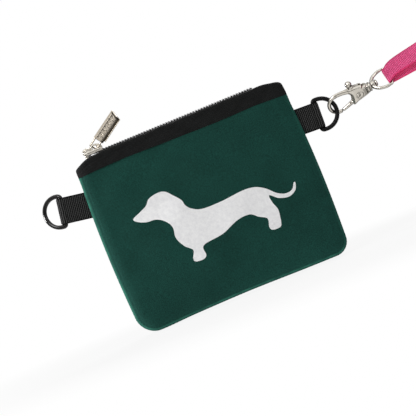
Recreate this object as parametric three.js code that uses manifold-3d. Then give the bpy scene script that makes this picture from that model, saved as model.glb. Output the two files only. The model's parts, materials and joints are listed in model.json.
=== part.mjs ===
// A zipped neoprene treat pouch with two D-ring tabs, a swivel clasp and a short wrist strap.
// Millimetres, +Z up, the front faces -Y, and the origin is the middle of the pouch's bottom edge.
import * as THREE from 'three';
import { LoftGeometry } from 'three/addons/geometries/LoftGeometry.js';
import { mergeVertices } from 'three/addons/utils/BufferGeometryUtils.js';
import Module from 'manifold-3d';

const wasm = await Module();
wasm.setup();

// ---- Driving dimensions ----

const CLEAR = 0.25; // gap between pieces that lie against each other
const BITE = 0.3; // how far the parts of one piece run into each other

// Pouch outline, seen from the front
const HALF_WIDTH = 61.3; // at the band and near the bottom
const SIDE_BOW = 1.4; // how far the sides bulge at mid height
const TOP = 101.9;
const BAND_BOTTOM = 92.6;
const CORNER_RADIUS = { left: 10.5, right: 8 };
const SHOULDER = { left: { run: 14, rise: 9.2 }, right: { run: 10, rise: 2.4 } };

// Pouch depth, measured from the middle plane on either side
const RIM = 2.9; // half depth at the seam
const ROLL = 7; // width over which the edge rolls in to the seam
const TOP_DEPTH = 6.7; // half depth at the zip
const BELLY = 3.0; // what the belly adds to the half depth
const BACK_FLAT = 8.7; // the back panel is pressed flat at this depth
const SEAM_Y = -1.2; // the side seam runs a little in front of the middle
const SEAM_GAP = 0.15; // from the seam plane to each panel
const SEAM_ALLOWANCE = 3.4; // sewn strip inside the seam
const NEOPRENE = 3.1;
const BINDING = 0.85;
const BAND_STACK = 4.1; // binding, neoprene and the binding's inner leg
const PANEL_SPACE = 0.4; // room that the binding leaves round the panel's edge
const PANEL_TOP = 100.7;
const STEP_START = 92; // above this the panel steps in under the binding
const STATIONS = 24; // points across the width of a shell

const FRONT_REACH = 10; // nothing on the front stands further out than this

// Print
const FILM = { gap: 0.25, thick: 0.2, bottom: 22, step: 5, rows: 11 };

// Zip
const TAPE = { outer: 2.3, inner: 1.8, bottom: 89, top: 101.65 };
const TAPE_ENDS = { left: -52, right: 49.4 };
const TOOTH_PITCH = 1.6;
const TOOTH_COUNT = 60;
const TOOTH_WIDTH = 0.62;
const TEETH_START = -49.6;
const TEETH = { bottom: 101.9, top: 103.2, rail: 1.6, back: 2.6, tip: 0.45, end: 0.4 };
const TOP_STOP = { left: -51.9, right: -50.4, inner: 1.2 };
const BOTTOM_STOP = { left: 47.1, right: 49.2, half: 2.5 };
const END_TAB = { left: 49.8, right: 54, half: 1.75, bevel: 1.4 };
const END_TAB_LEVEL = { bottom: 95.5, shoulder: 101.9, top: 102.25 };

// Slider: a plate over the teeth, a flange down each side, and a neck between the nose and the sole
const SLIDER = { nose: -54, waist: -47.5, tail: -43, half: 4.2, tailHalf: 3.7, corner: 1.6, wall: 0.35 };
const SLIDER_LEVEL = { sole: 99.9, soleTop: 100.8, flange: 102.35, plate: 103.35, top: 104.15, hump: 106 };
const SOLE_HALF = 1.5;
const NECK = { left: -53.5, right: -51.6, half: 0.8 };
const HUMP = { left: -53.4, right: -50.1, half: 1.6 };
const PULL_SLOT = { left: -48.8, right: -44.4, half: 2.5 }; // opening in the plate below the pull's bar
const BRIDGE = { left: -49.4, right: -43.8, spring: 105, top: 106.8, halfWidth: 0.65, half: 0.35 };
const PULL_PIVOT = new THREE.Vector3(-47, 0, 104.93);
const PULL_LIFT = THREE.MathUtils.degToRad(34); // angle of the pull above the zip
const PULL_TWIST = THREE.MathUtils.degToRad(42); // turn about its own length
const PULL = { length: 21.3, low: -2.25, high: 4.65, thick: 1.9, corner: 0.4 };
const PULL_FRAME = { bar: 0.42, side: 0.75, window: 4.6 }; // the thin open end round the bridge
const PULL_RECESS = { border: 1, depth: 0.35 };

// Side tabs and D-rings
const WEBBING = { width: 14.6, thick: 1.2 };
const RING = { wire: 1.2, half: 8.5, corner: 1.5, centre: 2.65 };
const TAB_SLEEVE = 1.45; // inside radius of the fold round the ring's bar
const TAB_WRAP = 130; // degrees that the fold turns each way from the middle
const TAB_INSIDE = 4; // webbing held inside the seam
const TABS = {
  left: { x: -62.4, z: 77.4, tilt: THREE.MathUtils.degToRad(170.5), reach: 13.8 },
  right: { x: 62.4, z: 75.4, tilt: THREE.MathUtils.degToRad(-2.5), reach: 10 },
};
const RING_LEAN = { left: THREE.MathUtils.degToRad(20), right: 0 };

// Clasp: its own frame has x along the clasp, y from the gate to the arm
const CLASP_ORIGIN = new THREE.Vector3(104.6, 0.4, 78.8);
const CLASP_RISE = THREE.MathUtils.degToRad(8);
const CLASP_ROLL = THREE.MathUtils.degToRad(34.5);
const HOOK = { x: -19.2, y: 0.6, radius: 5.2, wire: 0.95 };
const CHEEK = 2.3; // half thickness of the clasp body
const SLOT = 1.0; // half width of the slot between the cheeks
const RIVET = { x: -7.4, y: 0.2, radius: 0.7 };
const RIVET_PLAY = 0.12;
const RIVET_HEAD = { radius: 1.25, gap: 0.06, height: 0.44 };
const GATE_HALF = 0.8;
const HUB_TOP = 0.1; // the gate's hub is cut back to here, to leave room for the spring
const NUB = { x: -9.6, y: 7.5, radius: 1.75 };
const GATE_TIP = { x: -17.9, y: -4.45 };
const SPRING = { radius: 1.15, wire: 0.12, turns: 1.6, start: 0.3, rise: 0.42 };
const COLLAR = { radius: 2.8, left: -1.4, right: 0.9 };
const POST = { radius: 0.9, bore: 1.1, start: -3, head: 1.65, headStart: 4, end: 5.2 };

// Swivel eye and wrist strap
const EYE_ROLL = THREE.MathUtils.degToRad(-35);
const EYE = { wire: 0.7, half: 5.9, bar: 12.3, corner: 1.2, base: 1.35, baseEnd: 3.7, depth: 1.7 };
const STRAP = { width: 9.8, thick: 1.1, sleeve: 0.9, wrap: 70, length: 66, bulge: 12, overlap: 20 };
const STITCH = { thread: 0.5, edge: 1.2, end: 2, gap: 0.1 };
const ROUND = 24; // sides of a pin or a bore

// ---- Solids ----

// A closed geometry as a manifold-3d solid.
function solidOf(geometry) {
  const bare = geometry.index ? geometry.toNonIndexed() : geometry.clone();
  bare.deleteAttribute('normal');
  bare.deleteAttribute('uv');
  const merged = mergeVertices(bare, 1e-4);
  return new wasm.Manifold(
    new wasm.Mesh({
      numProp: 3,
      vertProperties: merged.attributes.position.array,
      triVerts: new Uint32Array(merged.index.array),
    }),
  );
}

function geometryOf(solid) {
  const mesh = solid.getMesh();
  const geometry = new THREE.BufferGeometry();
  geometry.setAttribute('position', new THREE.BufferAttribute(mesh.vertProperties, 3));
  geometry.setIndex(new THREE.BufferAttribute(mesh.triVerts, 1));
  return geometry;
}

function join(first, ...others) {
  return geometryOf(others.reduce((sum, g) => sum.add(solidOf(g)), solidOf(first)));
}

function cut(first, ...tools) {
  return geometryOf(tools.reduce((rest, g) => rest.subtract(solidOf(g)), solidOf(first)));
}

function overlapOf(a, b) {
  return geometryOf(solidOf(a).intersect(solidOf(b)));
}

// The normal of a ring of points, as long as twice its area.
function newell(ring) {
  const normal = new THREE.Vector3();
  ring.forEach((p, i) => {
    const q = ring[(i + 1) % ring.length];
    normal.x += (p.y - q.y) * (p.z + q.z);
    normal.y += (p.z - q.z) * (p.x + q.x);
    normal.z += (p.x - q.x) * (p.y + q.y);
  });
  return normal;
}

// A closed skin through sections; a joined loft runs round to its own start.
function loft(sections, joined = false) {
  const along = sections[1][0].clone().sub(sections[0][0]);
  const outward = newell(sections[0]).dot(along) > 0;
  const wound = outward ? sections : sections.map((ring) => [...ring].reverse());
  const rows = joined ? [...wound, wound[0]] : wound;
  return new LoftGeometry(rows, { capStart: !joined, capEnd: !joined });
}

// A section swept along a path in a plane. Section points are (along the plane's normal, across the path).
function sweep(path, normal, section, joined = false) {
  const last = path.length - 1;
  const rings = path.map((p, i) => {
    const before = path[joined ? (i + last) % path.length : Math.max(i - 1, 0)];
    const after = path[joined ? (i + 1) % path.length : Math.min(i + 1, last)];
    const across = after.clone().sub(before).cross(normal).normalize();
    return section.map((s) => p.clone().addScaledVector(normal, s.x).addScaledVector(across, s.y));
  });
  return loft(rings, joined);
}

function circle(radius, count) {
  return Array.from({ length: count }, (_, i) => {
    const angle = (2 * Math.PI * i) / count;
    return new THREE.Vector2(radius * Math.cos(angle), radius * Math.sin(angle));
  });
}

function rectangle(width, height) {
  const corners = [[-1, -1], [1, -1], [1, 1], [-1, 1]];
  return corners.map(([a, b]) => new THREE.Vector2((a * width) / 2, (b * height) / 2));
}

// Points of an arc in the XY plane.
function arc(x, y, radius, from, to, steps) {
  return Array.from({ length: steps + 1 }, (_, i) => {
    const angle = THREE.MathUtils.degToRad(from + ((to - from) * i) / steps);
    return new THREE.Vector3(x + radius * Math.cos(angle), y + radius * Math.sin(angle), 0);
  });
}

// A flat outline in the XY plane, made into a plate from z = low to z = high.
function plate(outline, low, high, holes = []) {
  const shape = new THREE.Shape(outline.map((p) => new THREE.Vector2(p.x, p.y)));
  shape.holes = holes.map((hole) => new THREE.Path(hole.map((p) => new THREE.Vector2(p.x, p.y))));
  const geometry = new THREE.ExtrudeGeometry(shape, { depth: high - low, bevelEnabled: false });
  return geometry.translate(0, 0, low);
}

function box(x0, x1, y0, y1, z0, z1) {
  const geometry = new THREE.BoxGeometry(x1 - x0, y1 - y0, z1 - z0);
  return geometry.translate((x0 + x1) / 2, (y0 + y1) / 2, (z0 + z1) / 2);
}

function corners(...pairs) {
  return pairs.map(([x, y]) => new THREE.Vector3(x, y, 0));
}

// A round bar along z.
function bar(x, y, radius, low, high) {
  const geometry = new THREE.CylinderGeometry(radius, radius, high - low, ROUND);
  return geometry.rotateX(Math.PI / 2).translate(x, y, (low + high) / 2);
}

// A round bar on the x axis.
function rod(radius, from, to) {
  const geometry = new THREE.CylinderGeometry(radius, radius, to - from, ROUND);
  return geometry.rotateZ(Math.PI / 2).translate((from + to) / 2, 0, 0);
}

// ---- Materials and the scene graph ----

const MATERIALS = {
  neoprene: { color: 0x1c3934, roughness: 0.85, metalness: 0 },
  binding: { color: 0x1a1d1c, roughness: 0.9, metalness: 0 },
  webbing: { color: 0x222222, roughness: 0.8, metalness: 0 },
  tape: { color: 0x161717, roughness: 0.9, metalness: 0 },
  teeth: { color: 0x9a9a9e, roughness: 0.35, metalness: 0.9 },
  slider: { color: 0x9b938a, roughness: 0.3, metalness: 1 },
  ring: { color: 0x101010, roughness: 0.3, metalness: 0.4 },
  film: { color: 0xdededf, roughness: 0.35, metalness: 0.5 },
  nickel: { color: 0xbab4a7, roughness: 0.25, metalness: 1 },
  steel: { color: 0xa8a8a8, roughness: 0.25, metalness: 1 },
  strap: { color: 0xd54975, roughness: 0.75, metalness: 0 },
  thread: { color: 0xd85a86, roughness: 0.7, metalness: 0 },
};

const pouch = new THREE.Group();
const clasp = new THREE.Group();
const eyeFrame = new THREE.Group();
pouch.add(clasp);
clasp.add(eyeFrame);
clasp.position.copy(CLASP_ORIGIN);
eyeFrame.rotation.x = EYE_ROLL - CLASP_ROLL;

function add(group, name, material, geometry) {
  const mesh = new THREE.Mesh(geometry, new THREE.MeshStandardMaterial(MATERIALS[material]));
  mesh.name = name;
  group.add(mesh);
  return mesh;
}

// The clasp's frame: x rises to the right, y leans forward by the roll, z comes towards the front.
const claspAlong = new THREE.Vector3(Math.cos(CLASP_RISE), 0, Math.sin(CLASP_RISE));
const claspUp = new THREE.Vector3(-Math.sin(CLASP_RISE), 0, Math.cos(CLASP_RISE))
  .multiplyScalar(Math.cos(CLASP_ROLL))
  .add(new THREE.Vector3(0, -Math.sin(CLASP_ROLL), 0));
const claspOut = claspAlong.clone().cross(claspUp);
clasp.quaternion.setFromRotationMatrix(new THREE.Matrix4().makeBasis(claspAlong, claspUp, claspOut));

// ---- Pouch shell ----

const sideName = (x) => (x < 0 ? 'left' : 'right');

// Quarter-round rise from 0 to 1 as t goes from 0 to 1.
function rollIn(t) {
  const rest = 1 - Math.min(Math.max(t, 0), 1);
  return Math.sqrt(1 - rest * rest);
}

function straightEdge(z) {
  return HALF_WIDTH + SIDE_BOW * Math.sin(Math.PI * Math.min(z / BAND_BOTTOM, 1));
}

// The outline's x on one side, at a height.
function edgeX(side, z) {
  const radius = CORNER_RADIUS[side];
  const { run, rise } = SHOULDER[side];
  let x = straightEdge(z);
  x -= radius * (1 - rollIn(z / radius));
  const up = Math.max(z - (TOP - rise), 0);
  x -= run * (1 - Math.sqrt(Math.max(1 - (up / rise) ** 2, 0)));
  return side === 'left' ? -x : x;
}

// Distance in from the sewn side and bottom edges.
function inset(x, z) {
  const radius = CORNER_RADIUS[sideName(x)];
  const toSide = straightEdge(z) - Math.abs(x);
  if (toSide < radius && z < radius) {
    return Math.max(radius - Math.hypot(radius - toSide, radius - z), 0);
  }
  return Math.max(Math.min(toSide, z), 0);
}

function fullDepth(x, z) {
  const across = 1 - (x / straightEdge(z)) ** 2;
  return TOP_DEPTH + BELLY * across * Math.sin(Math.PI * Math.min(z / TOP, 1) ** 0.8);
}

function outerDepth(x, z) {
  return RIM + (fullDepth(x, z) - RIM) * rollIn(inset(x, z) / ROLL);
}

function flattened(depth, facing) {
  return facing > 0 ? Math.min(depth, BACK_FLAT) : depth;
}

function innerDepth(x, z, seam, wall) {
  const fill = rollIn((inset(x, z) - SEAM_ALLOWANCE) / ROLL);
  return seam + (fullDepth(x, z) - wall - seam) * fill;
}

// A shell on one side of the middle plane: outer(x, z) and inner(x, z) are depths, facing is -1 in front.
function shell(heights, facing, outer, inner, grow = 0) {
  const sections = heights.map((z) => {
    const left = edgeX('left', z);
    const right = edgeX('right', z);
    const xs = Array.from({ length: STATIONS + 1 }, (_, i) => {
      const t = (1 - Math.cos((Math.PI * i) / STATIONS)) / 2;
      return left + (right - left) * t;
    });
    xs[0] -= grow;
    xs[STATIONS] += grow;
    const outside = xs.map((x) => new THREE.Vector3(x, facing * outer(x, z), z));
    const inside = xs.map((x) => new THREE.Vector3(x, facing * inner(x, z), z)).reverse();
    return [...outside, ...inside];
  });
  return loft(sections);
}

const PANEL_HEIGHTS = [0, 0.6, 1.6, 3, 5, 7.5, 10.5, 18, 30, 45, 60, 76, 91.9, 92.4, 96.5, 99.5, PANEL_TOP];
const BAND_HEIGHTS = [BAND_BOTTOM, 95, 98, 99.8, 101, 101.6, TOP];

// Depth at which a panel meets the seam plane, seen from the front (-1) or the back (+1).
const seamDepth = (facing) => facing * SEAM_Y + SEAM_GAP;

// The panel steps in where the binding covers it; grow makes it bigger all round, as a cutting tool.
function panelShell(facing, grow = 0) {
  const step = (z) => (z > STEP_START ? BINDING + CLEAR : 0);
  const outer = (x, z) => flattened(outerDepth(x, z), facing) - step(z) + grow;
  const most = flattened(Infinity, facing) - NEOPRENE;
  const inner = (x, z) => Math.min(innerDepth(x, z, seamDepth(facing), NEOPRENE), most) - grow;
  const heights = grow > 0 ? [...PANEL_HEIGHTS, PANEL_TOP + grow] : PANEL_HEIGHTS;
  return shell(heights, facing, outer, inner, grow);
}

// The space that a tab's webbing takes between the two panels.
function tabPocket(tab) {
  const half = WEBBING.width / 2 + CLEAR;
  const deep = WEBBING.thick + CLEAR;
  const inner = -TAB_INSIDE - CLEAR;
  return placeTab(box(inner, 10, -half, half, -deep, deep), tab);
}

// Puts a piece made in a tab's frame (x outwards, y across the webbing, z to the front) on the pouch.
function tabMatrix(tab, lean = 0) {
  const out = new THREE.Vector3(Math.cos(tab.tilt), 0, Math.sin(tab.tilt));
  const across = new THREE.Vector3(-Math.sin(tab.tilt), 0, Math.cos(tab.tilt));
  const matrix = new THREE.Matrix4().makeBasis(out, across, out.clone().cross(across));
  matrix.setPosition(tab.x, 0, tab.z);
  const turn = new THREE.Matrix4().makeRotationY(lean);
  const away = new THREE.Matrix4().makeTranslation(tab.reach, 0, 0);
  const home = new THREE.Matrix4().makeTranslation(-tab.reach, 0, 0);
  return matrix.multiply(away).multiply(turn).multiply(home);
}

function placeTab(geometry, tab, lean = 0) {
  return geometry.applyMatrix4(tabMatrix(tab, lean));
}

function panel(facing) {
  return cut(panelShell(facing), tabPocket(TABS.left), tabPocket(TABS.right));
}

// The band: an outer leg, a fold over the panel's top edge and an inner leg.
function binding(facing) {
  const inner = (x, z) => innerDepth(x, z, seamDepth(facing), BAND_STACK);
  const block = shell(BAND_HEIGHTS, facing, outerDepth, inner);
  return cut(block, panelShell(facing, PANEL_SPACE));
}

// ---- Animal print ----

// A long low dog in side view, facing left, as (x, z).
const DOG_OUTLINE = [
  [-42, 60.8], [-37.5, 62.8], [-33, 64.8], [-30, 67.8], [-25, 69], [-20.5, 68.2], [-17, 64.5],
  [-13.8, 60.5], [-13, 57.2], [-10.5, 54.2], [-5, 51.8], [6, 51.6], [18, 52.6], [25, 52],
  [30.5, 49.2], [35.5, 44.4], [40, 42.3], [44, 43], [46.3, 46.2], [47, 45.4], [45.3, 41.8],
  [41, 40], [35.5, 41.4], [31.2, 44.8], [31.4, 40.5], [32.8, 36], [32.2, 31], [31, 27],
  [28, 26.3], [25.4, 27], [24.8, 29], [25.6, 33.4], [21.5, 36.2], [17.4, 39.2], [10, 38.8],
  [0, 35], [-11.8, 33.2], [-12.6, 28], [-14.6, 26.2], [-19.2, 26.6], [-19.9, 28.8], [-18.2, 33],
  [-21.8, 36.8], [-24.4, 42.6], [-23.8, 48.6], [-26.2, 53], [-30.6, 55.9], [-36, 56.6], [-40.5, 58.6],
];
const FILM_HEIGHTS = Array.from({ length: FILM.rows }, (_, i) => FILM.bottom + FILM.step * i);

function animalPrint() {
  const lift = (extra) => (x, z) => outerDepth(x, z) + FILM.gap + extra;
  const skin = shell(FILM_HEIGHTS, -1, lift(FILM.thick), lift(0));
  const points = [...DOG_OUTLINE, DOG_OUTLINE[0]].map(([x, z]) => new THREE.Vector2(x, z));
  const curve = new THREE.SplineCurve(points);
  const outline = curve.getPoints(2 * DOG_OUTLINE.length).slice(0, -1);
  const block = plate(outline, 0, 2 * FRONT_REACH).rotateX(Math.PI / 2);
  return overlapOf(skin, block);
}

// ---- Zip ----

function zipTape(facing) {
  const sides = [facing * TAPE.inner, facing * TAPE.outer].sort((a, b) => a - b);
  return box(TAPE_ENDS.left, TAPE_ENDS.right, ...sides, TAPE.bottom, TAPE.top);
}

// A comb: a rail along the tape's edge with teeth that reach past the middle.
function zipTeeth(facing, shift) {
  const rail = facing * TEETH.rail;
  const back = facing * TEETH.back;
  const tip = -facing * TEETH.tip;
  const end = TEETH_START + TOOTH_COUNT * TOOTH_PITCH;
  const outline = [[TEETH_START - TEETH.end, back], [TEETH_START - TEETH.end, rail]];
  for (let i = 0; i < TOOTH_COUNT; i += 1) {
    const x = TEETH_START + shift + i * TOOTH_PITCH;
    outline.push([x, rail], [x, tip], [x + TOOTH_WIDTH, tip], [x + TOOTH_WIDTH, rail]);
  }
  outline.push([end + TEETH.end, rail], [end + TEETH.end, back]);
  return plate(corners(...outline), TEETH.bottom, TEETH.top);
}

function topStop(facing) {
  const sides = [facing * TOP_STOP.inner, facing * TEETH.back].sort((a, b) => a - b);
  return box(TOP_STOP.left, TOP_STOP.right, ...sides, TEETH.bottom, TEETH.top);
}

function bottomStop() {
  const { left, right, half } = BOTTOM_STOP;
  return box(left, right, -half, half, TEETH.bottom, TEETH.top);
}

// Folded fabric that closes the zip's right end between the two bindings.
function zipEndTab() {
  const { left, right, half, bevel } = END_TAB;
  const { bottom, shoulder, top } = END_TAB_LEVEL;
  const profile = corners(
    [left, bottom], [right, bottom], [right, shoulder], [right - bevel, top], [left, top],
  );
  return plate(profile, -half, half).rotateX(Math.PI / 2);
}

// ---- Slider ----

// The plate's outline: a blunt nose, wide shoulders and a narrower tail, the same on both sides.
function sliderOutline() {
  const { nose, waist, tail, half, tailHalf, corner } = SLIDER;
  const side = [
    [nose, half - corner], [nose + corner / 3, half - corner / 3], [nose + corner, half], [waist - 2, half],
    [waist, tailHalf], [tail - 0.6, tailHalf], [tail, tailHalf - 0.6],
  ];
  const mirrored = side.map(([x, y]) => [x, -y]).reverse();
  return corners(...side, ...mirrored).reverse();
}

function sliderBody() {
  const { nose, tail, tailHalf, corner, wall } = SLIDER;
  const { sole, soleTop, flange, plate: low, top, hump } = SLIDER_LEVEL;
  const slotHalf = PULL_SLOT.half;
  const slot = corners(
    [PULL_SLOT.left, -slotHalf], [PULL_SLOT.right, -slotHalf],
    [PULL_SLOT.right, slotHalf], [PULL_SLOT.left, slotHalf],
  );
  const upper = plate(sliderOutline(), low, top, [slot]);
  const sideWall = (y) => box(nose + corner, tail, y - wall, y + wall, flange, top - BITE);
  const lower = box(nose + BITE, tail, -SOLE_HALF, SOLE_HALF, sole, soleTop);
  const neck = box(NECK.left, NECK.right, -NECK.half, NECK.half, soleTop - BITE, top - BITE);
  const humpSide = corners(
    [HUMP.left, top - BITE], [HUMP.left + 0.5, hump - 0.9], [HUMP.left + 1.6, hump - 0.2],
    [HUMP.right - 0.5, hump], [HUMP.right, hump - 0.1], [HUMP.right, top - BITE],
  );
  const nosePiece = plate(humpSide, -HUMP.half, HUMP.half).rotateX(Math.PI / 2);
  return join(upper, sideWall(tailHalf - wall), sideWall(wall - tailHalf), lower, neck, nosePiece);
}

// An arch over the slot that holds the pull's bar.
function sliderBridge() {
  const { left, right, spring, top, halfWidth, half } = BRIDGE;
  const middle = (left + right) / 2;
  const radius = (right - left) / 2;
  const rise = top - half - spring;
  const feet = SLIDER_LEVEL.top + 0.1;
  const steps = 10;
  const crown = Array.from({ length: steps + 1 }, (_, i) => {
    const angle = Math.PI * (1 - i / steps);
    return new THREE.Vector3(middle + radius * Math.cos(angle), 0, spring + rise * Math.sin(angle));
  });
  const path = [new THREE.Vector3(left, 0, feet), ...crown, new THREE.Vector3(right, 0, feet)];
  return sweep(path, new THREE.Vector3(0, 1, 0), rectangle(2 * halfWidth, 2 * half));
}

// Made flat, with x along the pull and y across it, and set at its lift and twist.
function pullTab() {
  const { length, low, high, thick, corner } = PULL;
  const { bar: radius, side, window } = PULL_FRAME;
  const { border, depth } = PULL_RECESS;
  const outline = corners(
    [window, low], [length - corner, low], [length, low + corner],
    [length, high - corner], [length - corner, high], [window, high],
  );
  const paddle = plate(outline, -thick / 2, thick / 2);
  const recess = (z0, z1) => box(window + border, length - border, low + border, high - border, z0, z1);
  const floor = thick / 2 - depth;
  const opening = corners(
    [radius, low + side], [window, low + side], [window, high - side], [radius, high - side],
  );
  const inPaddle = window + border;
  const frameOutline = corners([-radius, low], [inPaddle, low], [inPaddle, high], [-radius, high]);
  const frame = plate(frameOutline, -radius, radius, [opening]);
  return join(cut(paddle, recess(floor, thick), recess(-thick, -floor)), frame);
}

function pullMatrix() {
  const along = new THREE.Vector3(Math.cos(PULL_LIFT), 0, Math.sin(PULL_LIFT));
  const upright = new THREE.Vector3(-Math.sin(PULL_LIFT), 0, Math.cos(PULL_LIFT));
  const across = new THREE.Vector3(0, Math.cos(PULL_TWIST), 0);
  across.addScaledVector(upright, Math.sin(PULL_TWIST));
  const matrix = new THREE.Matrix4().makeBasis(along, across, along.clone().cross(across));
  return matrix.setPosition(PULL_PIVOT);
}

// ---- Tabs and rings ----

// Webbing folded round the ring's bar: two legs side by side in the seam, a round sleeve at the bar.
function tabWebbing(tab) {
  const half = WEBBING.thick / 2;
  const leg = half + 0.05;
  const legEnd = tab.reach * 0.45;
  const path = [
    new THREE.Vector3(-TAB_INSIDE, -leg, 0),
    new THREE.Vector3(legEnd, -leg, 0),
    ...arc(tab.reach, 0, TAB_SLEEVE + half, -TAB_WRAP, TAB_WRAP, 18),
    new THREE.Vector3(legEnd, leg, 0),
    new THREE.Vector3(-TAB_INSIDE, leg, 0),
  ];
  const upright = sweep(path, new THREE.Vector3(0, 0, 1), rectangle(WEBBING.width, WEBBING.thick));
  return upright.rotateX(Math.PI / 2);
}

// A D-ring whose straight bar lies at x = reach.
function dRing(tab) {
  const { wire, half, corner, centre } = RING;
  const x = tab.reach;
  const path = [
    ...arc(x + corner, -(half - corner), corner, 180, 270, 4),
    ...arc(x + centre, 0, half, -90, 90, 20),
    ...arc(x + corner, half - corner, corner, 90, 180, 4),
  ];
  return sweep(path, new THREE.Vector3(0, 0, 1), circle(wire, 10), true);
}

// ---- Clasp ----

// From the root over the arm and round the hook's curve to its open tip.
function hookPath() {
  const { x, y, radius } = HOOK;
  return [
    new THREE.Vector3(-11.3, 4.4, 0),
    new THREE.Vector3(-12.8, 4.9, 0),
    new THREE.Vector3(-15.5, 5.55, 0),
    ...arc(x, y, radius, 95, 268, 20),
  ];
}

// Two cheeks with a slot between them for the gate, a collar for the swivel, and the hook.
function claspBody() {
  const hook = sweep(hookPath(), new THREE.Vector3(0, 0, 1), circle(HOOK.wire, 12));
  const outline = corners(
    [-12.6, 3.9], [-11.4, 2.6], [-10.9, 0.6], [-11.6, -1.6], [-11.4, -4.3], [-9, -4.2], [-1.2, -2.9],
    [-1.2, 2.9], [-3.4, 3.7], [-6.2, 4.7], [-10.5, 5.5],
  );
  const cheeks = plate(outline, -CHEEK, CHEEK);
  const collar = rod(COLLAR.radius, COLLAR.left, COLLAR.right);
  const slot = box(-14, -4.4, -6, 6, -SLOT, SLOT);
  const rootOutline = corners([-12.8, 3.7], [-10.9, 3], [-10.6, 5.6], [-12.5, 5.4]);
  const armRoot = plate(rootOutline, -SLOT - 0.1, SLOT + 0.1);
  const bore = rod(POST.bore, -5, 2);
  const rivetHole = bar(RIVET.x, RIVET.y, RIVET.radius + RIVET_PLAY, -2 * CHEEK, 2 * CHEEK);
  const hollow = cut(join(cheeks, collar), slot, bore, rivetHole);
  return join(hollow, armRoot, hook);
}

// A hub on the rivet, a stem up to the thumb nub, and a rod that closes the hook.
function claspGate() {
  const hubOutline = corners(
    [-9.2, -1.2], [-6.8, -1.7], [-5.9, -0.4], [-6, 1.2], [-7.2, 2], [-8.6, 1.7],
  );
  const hub = plate(hubOutline, -GATE_HALF, HUB_TOP);
  const stem = plate(corners([-8.8, 1], [-7.2, 1.8], [-8.9, 6.6], [-10.3, 6.6]), -GATE_HALF, GATE_HALF);
  const nub = new THREE.SphereGeometry(NUB.radius, 16, 12).translate(NUB.x, NUB.y, 0);
  const knee = plate(corners([-9, 0.6], [-12.4, -2.6], [-11.6, -4.1], [-8, -1.4]), -GATE_HALF, HUB_TOP);
  const rodPath = [new THREE.Vector3(-11.4, -3.2, 0), new THREE.Vector3(GATE_TIP.x, GATE_TIP.y, 0)];
  const gateRod = sweep(rodPath, new THREE.Vector3(0, 0, 1), circle(GATE_HALF, 12));
  const hole = bar(RIVET.x, RIVET.y, RIVET.radius + RIVET_PLAY, -CHEEK, CHEEK);
  return cut(join(hub, stem, nub, knee, gateRod), hole);
}

function gateRivet() {
  const { radius, gap, height } = RIVET_HEAD;
  const pin = bar(RIVET.x, RIVET.y, RIVET.radius, -CHEEK - gap - height / 2, CHEEK + gap + height / 2);
  const head = (low, high) => bar(RIVET.x, RIVET.y, radius, low, high);
  const outer = CHEEK + gap;
  return join(pin, head(outer, outer + height), head(-outer - height, -outer));
}

// A turn and a half of wire round the rivet, in the slot beside the hub.
function gateSpring() {
  const { radius, wire, turns, start, rise } = SPRING;
  const steps = 22;
  const points = Array.from({ length: steps + 1 }, (_, i) => {
    const angle = (2 * Math.PI * turns * i) / steps;
    const x = RIVET.x + radius * Math.cos(angle);
    const y = RIVET.y + radius * Math.sin(angle);
    return new THREE.Vector3(x, y, start + (rise * i) / steps);
  });
  const extrudePath = new THREE.CatmullRomCurve3(points);
  const section = new THREE.Shape(circle(wire, 5));
  return new THREE.ExtrudeGeometry(section, { steps: 30, extrudePath, bevelEnabled: false });
}

// A shaft through the collar with a riveted head at each end.
function swivelPost() {
  const { radius, bore, start, head, headStart, end } = POST;
  const shaft = rod(radius, start, headStart + BITE);
  const innerHead = rod(bore - 0.06, start - 0.8, start + 0.4);
  return join(shaft, rod(head, headStart, end), innerHead);
}

// A drilled block on the post and a squared wire loop for the strap.
function swivelEye() {
  const { wire, half, bar: x, corner, base, baseEnd, depth } = EYE;
  const block = plate(corners([base, -1.9], [baseEnd, -2.3], [baseEnd, 2.3], [base, 1.9]), -depth, depth);
  const side = corners([2.6, 1.9], [4.4, 4.2], [6.8, 5.5]);
  const upper = [...side, ...arc(x - corner, half - corner, corner, 90, 0, 5)];
  const lower = upper.map((p) => new THREE.Vector3(p.x, -p.y, 0)).reverse();
  const wireLoop = sweep([...upper, ...lower], new THREE.Vector3(0, 0, 1), circle(wire, 10));
  return cut(join(block, wireLoop), rod(POST.radius + 0.15, 0, baseEnd + CLEAR));
}

// ---- Wrist strap ----

// One length of webbing, in the eye's frame seen edge on. It starts at the seam near the far end, runs round
// the far turn, back to the eye's bar, round the bar and out again, and ends inside its own start.
function strapPath() {
  const { sleeve, thick, wrap, length, bulge, overlap } = STRAP;
  const turnRadius = sleeve + thick / 2;
  const near = EYE.bar;
  const far = near + length - bulge;
  const wrapEnd = THREE.MathUtils.degToRad(wrap);
  const side = (height) => {
    const sign = Math.sign(height);
    const curve = new THREE.CubicBezierCurve(
      new THREE.Vector2(near + turnRadius * Math.cos(wrapEnd), sign * turnRadius * Math.sin(wrapEnd)),
      new THREE.Vector2(near + length * 0.2, sign * (turnRadius + 1)),
      new THREE.Vector2(near + length * 0.5, height),
      new THREE.Vector2(far, height),
    );
    return curve.getPoints(12).map((p) => new THREE.Vector3(p.x, p.y, 0));
  };
  const farTurn = arc(far, 0, bulge, -90, 90, 14);
  const upper = side(bulge).reverse();
  const roundBar = arc(near, 0, turnRadius, wrap, 360 - wrap, 12);
  const lower = side(-(bulge - thick - 0.15));
  const start = new THREE.Vector3(far - overlap, -bulge, 0);
  return [start, ...farTurn, ...upper.slice(1), ...roundBar.slice(1), ...lower.slice(1)];
}

function wristStrap() {
  const upright = sweep(strapPath(), new THREE.Vector3(0, 0, 1), rectangle(STRAP.width, STRAP.thick));
  return upright.rotateX(Math.PI / 2);
}

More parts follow.
